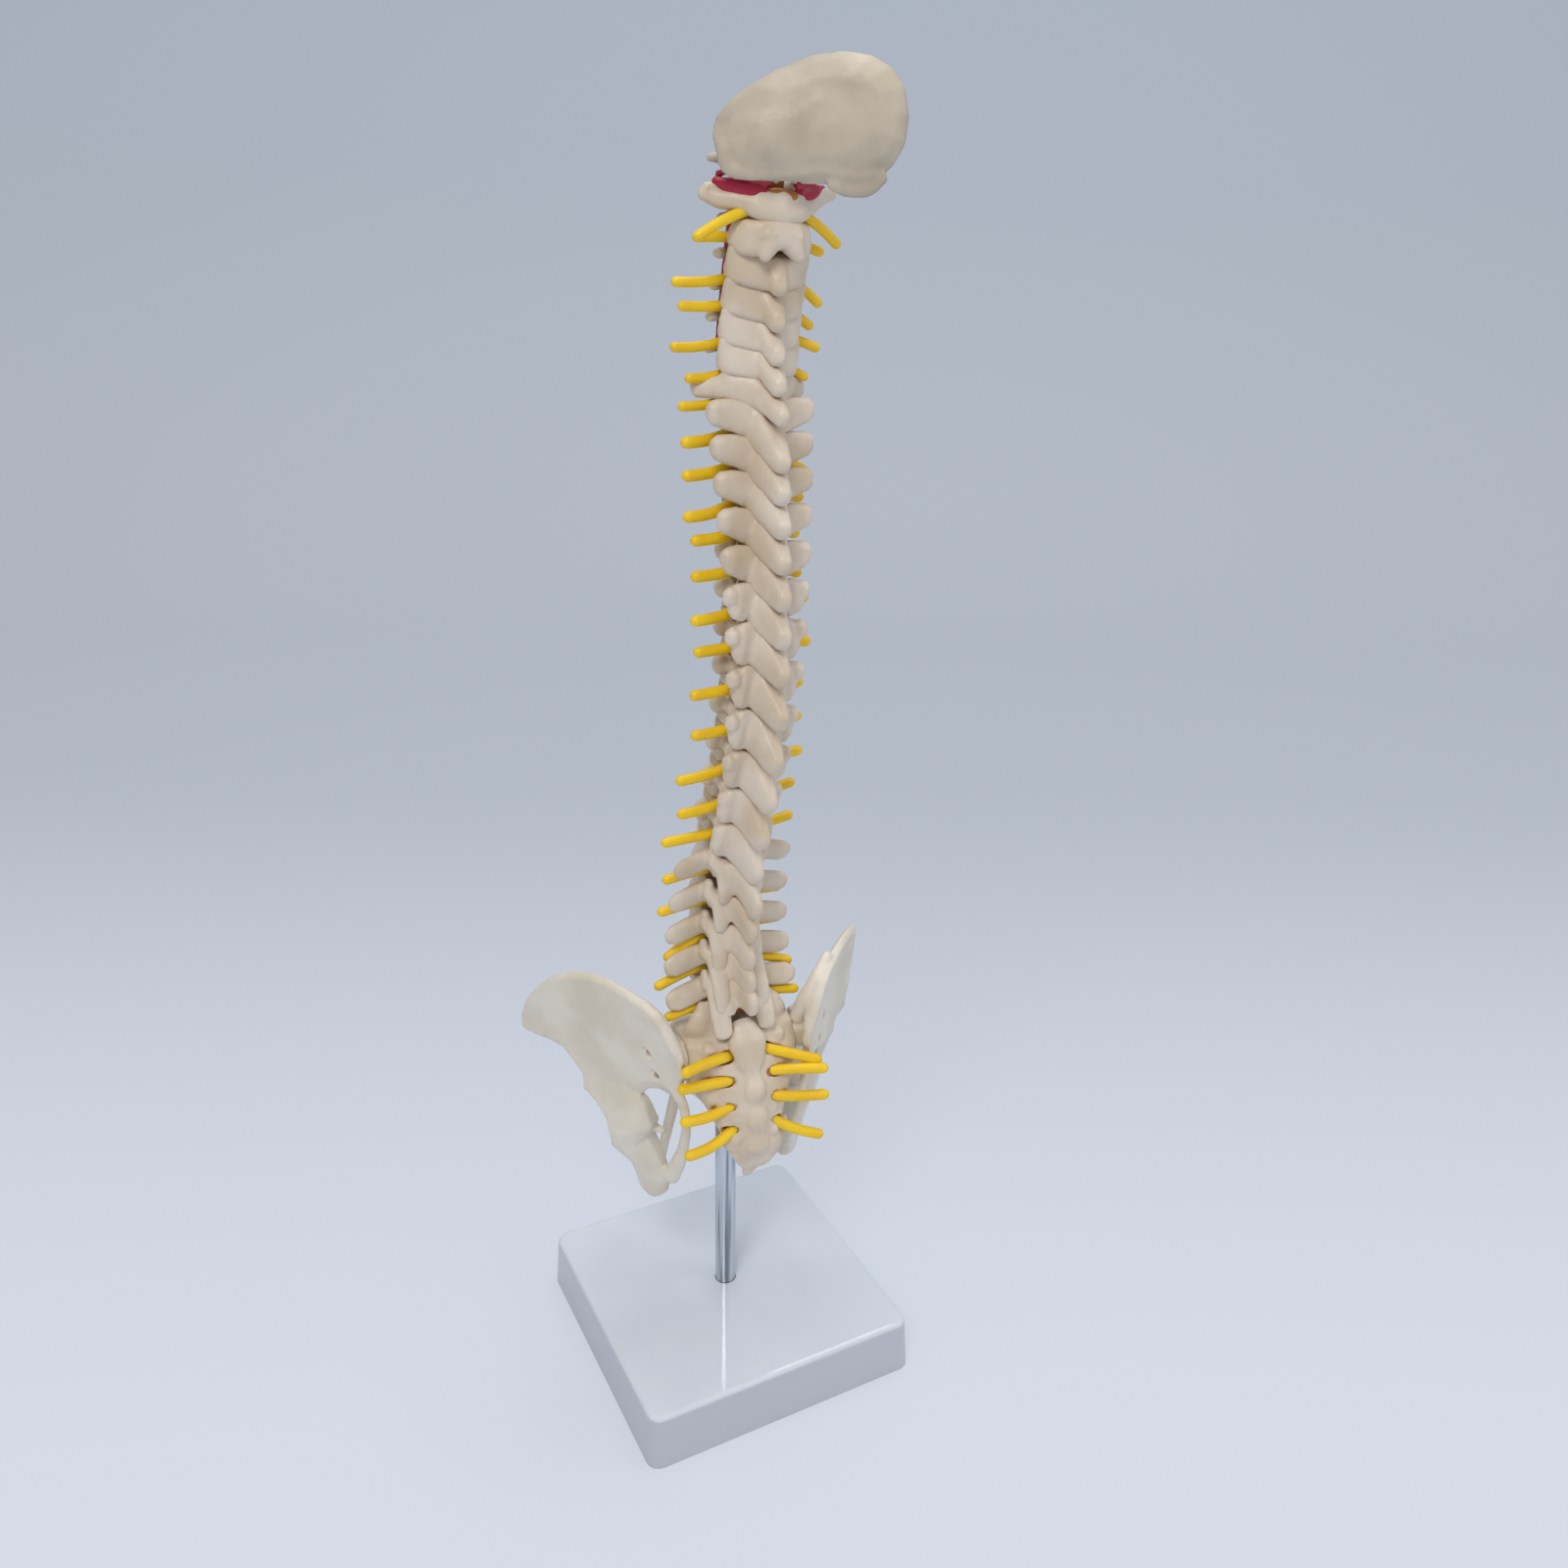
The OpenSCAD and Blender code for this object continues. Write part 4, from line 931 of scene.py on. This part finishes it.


# How enclosed each point of the pieces is, from 0 in the open to 1 in a narrow gap, kept as the amount of
# painted shade that its material gets
def mark_hollow_shade(pieces, rays):
    cast = tree_of(pieces).ray_cast
    fan = np.random.default_rng(7).normal(size=(rays, 3))
    fan /= np.linalg.norm(fan, axis=1)[:, None]
    for piece in pieces:
        mesh = piece.data
        count = len(mesh.vertices)
        where = values_of(mesh.vertices, "co", 3)
        normal = values_of(mesh.vertices, "normal", 3)
        lifted = (where + normal * RAY_LIFT).tolist()
        shut = np.zeros(count)
        for ray in fan:
            ways = normal * RAY_LEAN + ray
            ways /= np.linalg.norm(ways, axis=1)[:, None]
            hits = (cast(spot, way, RAY_REACH)[3] for spot, way in zip(lifted, ways.tolist()))
            shut += [0.0 if hit is None else 1.0 - hit / RAY_REACH for hit in hits]
        shut /= rays
        ends = values_of(mesh.edges, "vertices", 2, np.int32)
        degree = np.bincount(ends.ravel(), minlength=count) + 1.0
        for _ in range(BLUR_ROUNDS):
            spread = np.bincount(ends[:, 0], weights=shut[ends[:, 1]], minlength=count)
            spread += np.bincount(ends[:, 1], weights=shut[ends[:, 0]], minlength=count)
            shut = (shut + spread) / degree
        # The pits round the nerve roots and the slots of the hip bone get painted shade, strongest at their
        # middles
        for point, radius, _ in dimples():
            away = np.linalg.norm(where / MM - np.array(point), axis=1)
            shut = np.maximum(shut, np.clip(PIT_SHADE * (1 - away / (radius * PIT_WIDE)), 0, 1))
        layer = mesh.attributes.new("hollow", "FLOAT", "POINT")
        layer.data.foreach_set("value", shut.astype(np.float32))


class SpineBoneSettings(bpy.types.PropertyGroup):
    """Sizes and colours of the bones"""
    grain: bpy.props.FloatProperty(
        name="Grain", description="Spacing of the skin's points on a vertebra",
        default=0.57 * MM, min=0.2 * MM, max=2 * MM, subtype="DISTANCE", precision=5)
    rounds: bpy.props.IntProperty(
        name="Rounds", description="Rounds of smoothing on a vertebra", default=7, min=1, max=30)
    pale: bpy.props.FloatVectorProperty(
        name="Pale", description="Lightest colour of the bone plastic",
        default=srgb(224, 210, 193), size=4, subtype="COLOR", min=0, max=1)
    warm: bpy.props.FloatVectorProperty(
        name="Warm", description="Warmer patches of the bone plastic",
        default=srgb(208, 189, 164), size=4, subtype="COLOR", min=0, max=1)
    # Painted shade of the bone plastic in its hollows, in a tan tone
    hollow: bpy.props.FloatVectorProperty(
        name="Hollow", description="Colour in the hollows between the bones",
        default=srgb(164, 110, 58), size=4, subtype="COLOR", min=0, max=1)


class SpineSoftSettings(bpy.types.PropertyGroup):
    """Thicknesses of the nerves, and colours of nerves and arteries"""
    neck_nerve: bpy.props.FloatProperty(
        name="Neck nerve", description="Thickness of a nerve of the neck",
        default=2.9 * MM, min=2 * MM, max=4 * MM, subtype="DISTANCE", precision=5)
    nerve: bpy.props.FloatProperty(
        name="Nerve", description="Thickness of a nerve of the chest and loins",
        default=3.6 * MM, min=2 * MM, max=5 * MM, subtype="DISTANCE", precision=5)
    yellow: bpy.props.FloatVectorProperty(
        name="Yellow", description="Colour of the nerves",
        default=srgb(248, 206, 22), size=4, subtype="COLOR", min=0, max=1)
    yellow_deep: bpy.props.FloatVectorProperty(
        name="Yellow, deep", description="Deeper patches of the nerves",
        default=srgb(238, 190, 12), size=4, subtype="COLOR", min=0, max=1)
    # Painted shade of the nerves where they lie deep between the bones
    cord: bpy.props.FloatVectorProperty(
        name="Cord", description="Colour of the nerves deep between the bones",
        default=srgb(140, 76, 22), size=4, subtype="COLOR", min=0, max=1)
    artery: bpy.props.FloatVectorProperty(
        name="Artery", description="Colour of the arteries",
        default=srgb(178, 22, 56), size=4, subtype="COLOR", min=0, max=1)


class SpineStandSettings(bpy.types.PropertyGroup):
    """Colours of the base and the rod"""
    base: bpy.props.FloatVectorProperty(
        name="Base", description="Colour of the moulded base",
        default=srgb(219, 224, 231), size=4, subtype="COLOR", min=0, max=1)
    steel: bpy.props.FloatVectorProperty(
        name="Steel", description="Colour of the rod",
        default=srgb(205, 212, 220), size=4, subtype="COLOR", min=0, max=1)


class SpineStageSettings(bpy.types.PropertyGroup):
    """Studio round the model"""
    floor: bpy.props.FloatVectorProperty(
        name="Floor", description="Colour of the near floor",
        default=srgb(214, 220, 231), size=4, subtype="COLOR", min=0, max=1)
    # The far floor and the wall are the same paper as the near floor, painted darker as painted shade
    far: bpy.props.FloatVectorProperty(
        name="Far floor", description="Colour of the far floor",
        default=srgb(184, 191, 202), size=4, subtype="COLOR", min=0, max=1)
    wall: bpy.props.FloatVectorProperty(
        name="Wall", description="Colour of the backdrop",
        default=srgb(173, 183, 195), size=4, subtype="COLOR", min=0, max=1)


# Colours without a setting of their own: pale, in patches, and the painted shade in hollows
PELVIS_COLOURS = srgb(229, 221, 206), srgb(217, 206, 187)
SKULL_COLOURS = srgb(198, 185, 164), srgb(174, 162, 144), srgb(150, 120, 92)
DISC_COLOURS = srgb(205, 186, 150), srgb(190, 166, 126), srgb(140, 100, 60)
# The cord is the nerves' yellow vinyl, coloured deep orange all over as painted shade, with stronger painted
# shade in its hollows
SHADED_CORD_COLOURS = srgb(196, 128, 44), srgb(168, 100, 30), srgb(92, 46, 14)
CAP_COLOURS = srgb(232, 230, 224), srgb(224, 220, 212), srgb(170, 160, 140)
ARTERY_PATCH, ARTERY_HOLLOW_SHADE = srgb(160, 14, 46), srgb(110, 10, 34)
# The base's top, its patches, and the painted shade of its upright faces
BASE_PATCH, BASE_WALL_SHADE = srgb(211, 217, 226), srgb(192, 196, 203)
WIRE_COLOUR = srgb(190, 194, 198)

# Spacing of the skin's points and rounds of smoothing of the pieces that aren't vertebrae
SACRUM_SKIN = (0.56 * MM, 4)
HIP_SKIN = (0.62 * MM, 4)
SKULL_SKIN = (0.6 * MM, 8)
DISC_SKIN = (0.8 * MM, 2)
CORD_SKIN = (0.65 * MM, 2)
ARTERY_SKIN = (0.42 * MM, 3)


class SPINE_OT_vertebrae(bpy.types.Operator):
    """Round the 24 vertebrae into cast bones"""
    bl_idname = "spine.vertebrae"
    bl_label = "Vertebrae"

    def execute(self, context):
        bones = context.scene.spine_bones
        material = bone_material("cast_bone", bones.pale, bones.warm, bones.hollow)
        for k, level in enumerate(LEVELS):
            node = "vertebra_" + level
            piece = rounded_shell("bone_" + level, node, bones.grain, bones.rounds,
                                  forms=lambda body: vertebra_forms(body, k))
            shells.append(finish_piece(piece, material, "bone_plastic", node))
        return {"FINISHED"}


class SPINE_OT_pelvis(bpy.types.Operator):
    """Round the sacrum and both hip bones"""
    bl_idname = "spine.pelvis"
    bl_label = "Pelvis"

    def execute(self, context):
        bones = context.scene.spine_bones
        material = bone_material("cast_pelvis", *PELVIS_COLOURS, bones.hollow)
        column = bpy.data.materials["cast_bone"]
        for node, skin, forms, cast in (("sacrum", SACRUM_SKIN, sacrum_forms, column),
                                        ("hip_left", HIP_SKIN, hip_forms, material),
                                        ("hip_right", HIP_SKIN, right_hip_forms, material)):
            piece = rounded_shell("bone_" + node, node, *skin, forms=forms)
            press_dimples(piece)
            shells.append(finish_piece(piece, cast, "bone_plastic", node))
        return {"FINISHED"}


class SPINE_OT_skull(bpy.types.Operator):
    """Round the back plate of the skull"""
    bl_idname = "spine.skull"
    bl_label = "Skull plate"

    def execute(self, context):
        material = bone_material("cast_skull", *SKULL_COLOURS, rough=0.42)
        piece = rounded_shell("bone_skull_plate", "occipital_bone", *SKULL_SKIN, forms=skull_forms)
        shells.append(finish_piece(piece, material, "skull_plastic", "occipital_bone"))
        return {"FINISHED"}


class SPINE_OT_discs(bpy.types.Operator):
    """Round the rims of the discs"""
    bl_idname = "spine.discs"
    bl_label = "Discs"

    def execute(self, context):
        material = bone_material("disc_rubber", *DISC_COLOURS, rough=0.5)
        nodes = [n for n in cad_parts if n.startswith("disc_")] + ["symphysis_pad"]
        for node in nodes:
            piece = rounded_shell("pad_" + node, node, *DISC_SKIN)
            shells.append(finish_piece(piece, material, "disc_plastic", node))
        return {"FINISHED"}


class SPINE_OT_nerves(bpy.types.Operator):
    """Make the cord, the nerves between the bones and the nerves of the sacrum"""
    bl_idname = "spine.nerves"
    bl_label = "Nerves"

    def execute(self, context):
        soft = context.scene.spine_soft
        material = vinyl_material("nerve_vinyl", soft.yellow, soft.yellow_deep, soft.cord, 0.42)
        # The cord gets a darker copy of the nerves' vinyl as painted shade
        cord_shade_vinyl = vinyl_material("cord_vinyl_in_shade", *SHADED_CORD_COLOURS, 0.42)
        cord = rounded_shell("cord", "spinal_cord", *CORD_SKIN, swell=0.08 * MM, forms=cord_forms)
        shells.append(finish_piece(cord, cord_shade_vinyl, "nerve_plastic", "spinal_cord"))
        nerves = make_nerves(soft.neck_nerve, soft.nerve)
        shells.append(finish_piece(nerves, material, "nerve_plastic", "nerve_pins"))
        return {"FINISHED"}


class SPINE_OT_arteries(bpy.types.Operator):
    """Make the arteries of the neck"""
    bl_idname = "spine.arteries"
    bl_label = "Arteries"

    def execute(self, context):
        soft = context.scene.spine_soft
        material = vinyl_material("artery_vinyl", soft.artery, ARTERY_PATCH, ARTERY_HOLLOW_SHADE, 0.3)
        piece = rounded_shell("neck_arteries", "vertebral_arteries", *ARTERY_SKIN, swell=0.1 * MM,
                              forms=artery_forms)
        shells.append(finish_piece(piece, material, "artery_plastic", "vertebral_arteries"))
        return {"FINISHED"}


class SPINE_OT_stand(bpy.types.Operator):
    """Dress the base, the rod, the nut, the core wire and its cap"""
    bl_idname = "spine.stand"
    bl_label = "Stand"

    def execute(self, context):
        stand = context.scene.spine_stand
        steel = steel_material("drawn_steel", stand.steel, 0.16)
        wire = steel_material("wire_steel", WIRE_COLOUR, 0.3)
        gloss = base_material("base_gloss", stand.base, BASE_PATCH, BASE_WALL_SHADE)
        cap = bone_material("cap_plastic", *CAP_COLOURS)
        dress_node("base_plate", gloss)
        dress_node("stand_rod", steel)
        dress_node("base_nut", wire)
        dress_node("core_wire", wire)
        dress_node("core_cap", cap)
        return {"FINISHED"}


class SPINE_OT_hollow_shade(bpy.types.Operator):
    """Mark the hollows of the pieces, where their material is darkened by painted shade"""
    bl_idname = "spine.hollows"
    bl_label = "Hollows"

    def execute(self, context):
        mark_hollow_shade(shells, 10)
        return {"FINISHED"}


class SPINE_OT_stage(bpy.types.Operator):
    """Make the floor, the backdrop, the lamps and the camera"""
    bl_idname = "spine.stage"
    bl_label = "Stage"

    def execute(self, context):
        stage = context.scene.spine_stage
        make_backdrop(stage)
        make_lamps()
        make_camera()
        return {"FINISHED"}


# Studio paper in metres: it lies flat, bends up behind the model and ends as a wall, turned to the camera
PAPER_HALF = 3.0
PAPER_NEAR = -2.2
BEND_START = 1.0
BEND_RADIUS = 0.5
BEND_STEPS = 12
WALL_TOP = 3.0
PAPER_TURN = -28
# Level way from the camera past the model, along which the floor gets painted shade, and where it starts and
# ends to
AWAY = (0.469, 0.883, 0.0)
FLOOR_SHADE = (-0.12, 0.62)
# Share of the paper's light that is its own to the camera, so that its tone holds without the lamps
OWN_LIGHT = 0.62


def paper_material(stage):
    material, tree, shader = new_material("seamless_paper")
    place = add_node(tree, "ShaderNodeTexCoord")
    away = add_node(tree, "ShaderNodeVectorMath", operation="DOT_PRODUCT")
    link(tree, place.outputs["Object"], away.inputs[0])
    away.inputs[1].default_value = AWAY
    # Painted shade: the floor darker away from the camera, and the paper darker as it rises into the wall
    ground = mix_colour(tree, reshape(tree, away.outputs["Value"], *FLOOR_SHADE), stage.floor, stage.far)
    rise = reshape(tree, part_of(tree, place, "Object", "Z"), 0.0, 1.2)
    colour = mix_colour(tree, rise, ground, stage.wall)
    link(tree, colour, shader.inputs["Base Color"])
    shader.inputs["Roughness"].default_value = 0.7
    path = add_node(tree, "ShaderNodeLightPath")
    glow = add_node(tree, "ShaderNodeEmission")
    link(tree, colour, glow.inputs["Color"])
    share = add_node(tree, "ShaderNodeMath", operation="MULTIPLY")
    link(tree, path.outputs["Is Camera Ray"], share.inputs[0])
    share.inputs[1].default_value = OWN_LIGHT
    blend = add_node(tree, "ShaderNodeMixShader")
    for source, plug in ((share, 0), (shader, 1), (glow, 2)):
        link(tree, source.outputs[0], blend.inputs[plug])
    out = [n for n in tree.nodes if n.type == "OUTPUT_MATERIAL"][0]
    link(tree, blend.outputs[0], out.inputs["Surface"])
    return material


def make_backdrop(stage):
    body = bmesh.new()
    sweep = [(PAPER_NEAR, 0), (BEND_START, 0)]
    for step in range(1, BEND_STEPS + 1):
        t = math.radians(90 * step / BEND_STEPS)
        sweep.append((BEND_START + BEND_RADIUS * math.sin(t), BEND_RADIUS * (1 - math.cos(t))))
    sweep.append((BEND_START + BEND_RADIUS, WALL_TOP))
    line = [body.verts.new((-PAPER_HALF, y, z)) for y, z in sweep]
    edges = [body.edges.new(pair) for pair in zip(line[:-1], line[1:])]
    grown = bmesh.ops.extrude_edge_only(body, edges=edges)
    moved = [v for v in grown["geom"] if isinstance(v, bmesh.types.BMVert)]
    bmesh.ops.translate(body, verts=moved, vec=(2 * PAPER_HALF, 0, 0))
    bmesh.ops.recalc_face_normals(body, faces=body.faces)
    turn = Matrix.Rotation(math.radians(PAPER_TURN), 3, "Z")
    bmesh.ops.rotate(body, verts=body.verts, cent=(0, 0, 0), matrix=turn)
    mesh = bpy.data.meshes.new("backdrop")
    body.to_mesh(mesh)
    body.free()
    mesh.shade_smooth()
    mesh.materials.append(paper_material(stage))
    loose_object("backdrop", mesh)


# Name, place, size, power and colour of each lamp
LAMPS = (
    ("key_lamp", (-0.9, -1.0, 1.7), 0.8, 15, (1.0, 0.98, 0.95)),
    ("fill_lamp", (1.3, -0.9, 0.9), 1.2, 4, (0.97, 0.98, 1.0)),
    ("top_lamp", (0.3, 0.2, 2.0), 1.4, 14, (0.97, 0.98, 1.0)),
)
LAMP_AIM = (0, 0, 0.25)
SKY_COLOUR = (0.93, 0.96, 1.0, 1.0)
SKY_STRENGTH = 0.45


def make_lamps():
    scene = bpy.context.scene
    scene.world = scene.world or bpy.data.worlds.new("studio")
    scene.world.use_nodes = True
    back = [n for n in scene.world.node_tree.nodes if n.type == "BACKGROUND"][0]
    set_inputs(back, Color=SKY_COLOUR, Strength=SKY_STRENGTH)
    for name, place, size, power, colour in LAMPS:
        data = bpy.data.lights.new(name, "AREA")
        data.shape = "DISK"
        data.size = size
        data.energy = power
        data.color = colour
        lamp = loose_object(name, data)
        lamp.location = place
        lamp.rotation_euler = (Vector(LAMP_AIM) - Vector(place)).to_track_quat("-Z", "Y").to_euler()


# The camera that was solved from the photograph: place, then azimuth, elevation and roll in degrees, and lens
CAMERA_PLACE = (-0.1761, -0.3739, 0.4046)
CAMERA_TURNS = (-27.99, 22.06, 1.08)
SENSOR_WIDTH = 36.0
LENS = 29.83


def make_camera():
    data = bpy.data.cameras.new("photo_camera")
    data.sensor_width = SENSOR_WIDTH
    data.lens = LENS
    data.clip_start = 0.01
    camera = loose_object("photo_camera", data)
    azimuth, elevation, roll = map(math.radians, CAMERA_TURNS)
    flat = math.cos(elevation)
    back = Vector((math.sin(azimuth) * flat, -math.cos(azimuth) * flat, math.sin(elevation)))
    right = Vector((math.cos(azimuth), math.sin(azimuth), 0))
    up = back.cross(right)
    turned_right = right * math.cos(roll) + up * math.sin(roll)
    turned_up = up * math.cos(roll) - right * math.sin(roll)
    turn = Matrix((turned_right, turned_up, back)).transposed().to_4x4()
    camera.matrix_world = Matrix.Translation(Vector(CAMERA_PLACE)) @ turn
    bpy.context.scene.camera = camera


class SPINE_PT_panel(bpy.types.Panel):
    """Steps of the spine model in order"""
    bl_idname = "SPINE_PT_panel"
    bl_label = "Spine model"
    bl_space_type = "VIEW_3D"
    bl_region_type = "UI"
    bl_category = "Spine model"

    def draw(self, context):
        for step in STEPS:
            self.layout.operator(step.bl_idname)


SETTINGS = (
    ("spine_bones", SpineBoneSettings),
    ("spine_soft", SpineSoftSettings),
    ("spine_stand", SpineStandSettings),
    ("spine_stage", SpineStageSettings),
)
STEPS = (
    SPINE_OT_vertebrae,
    SPINE_OT_pelvis,
    SPINE_OT_skull,
    SPINE_OT_discs,
    SPINE_OT_nerves,
    SPINE_OT_arteries,
    SPINE_OT_stand,
    SPINE_OT_hollow_shade,
    SPINE_OT_stage,
)


def register():
    for name, kind in SETTINGS:
        bpy.utils.register_class(kind)
        setattr(bpy.types.Scene, name, bpy.props.PointerProperty(type=kind))
    for kind in STEPS + (SPINE_PT_panel,):
        bpy.utils.register_class(kind)


def unregister():
    for kind in (SPINE_PT_panel,) + STEPS[::-1]:
        bpy.utils.unregister_class(kind)
    for name, kind in SETTINGS[::-1]:
        delattr(bpy.types.Scene, name)
        bpy.utils.unregister_class(kind)


def main():
    register()
    bpy.context.scene.view_settings.view_transform = "Standard"
    for step in STEPS:
        group, call = step.bl_idname.split(".")
        getattr(getattr(bpy.ops, group), call)()


if __name__ == "__main__":
    main()
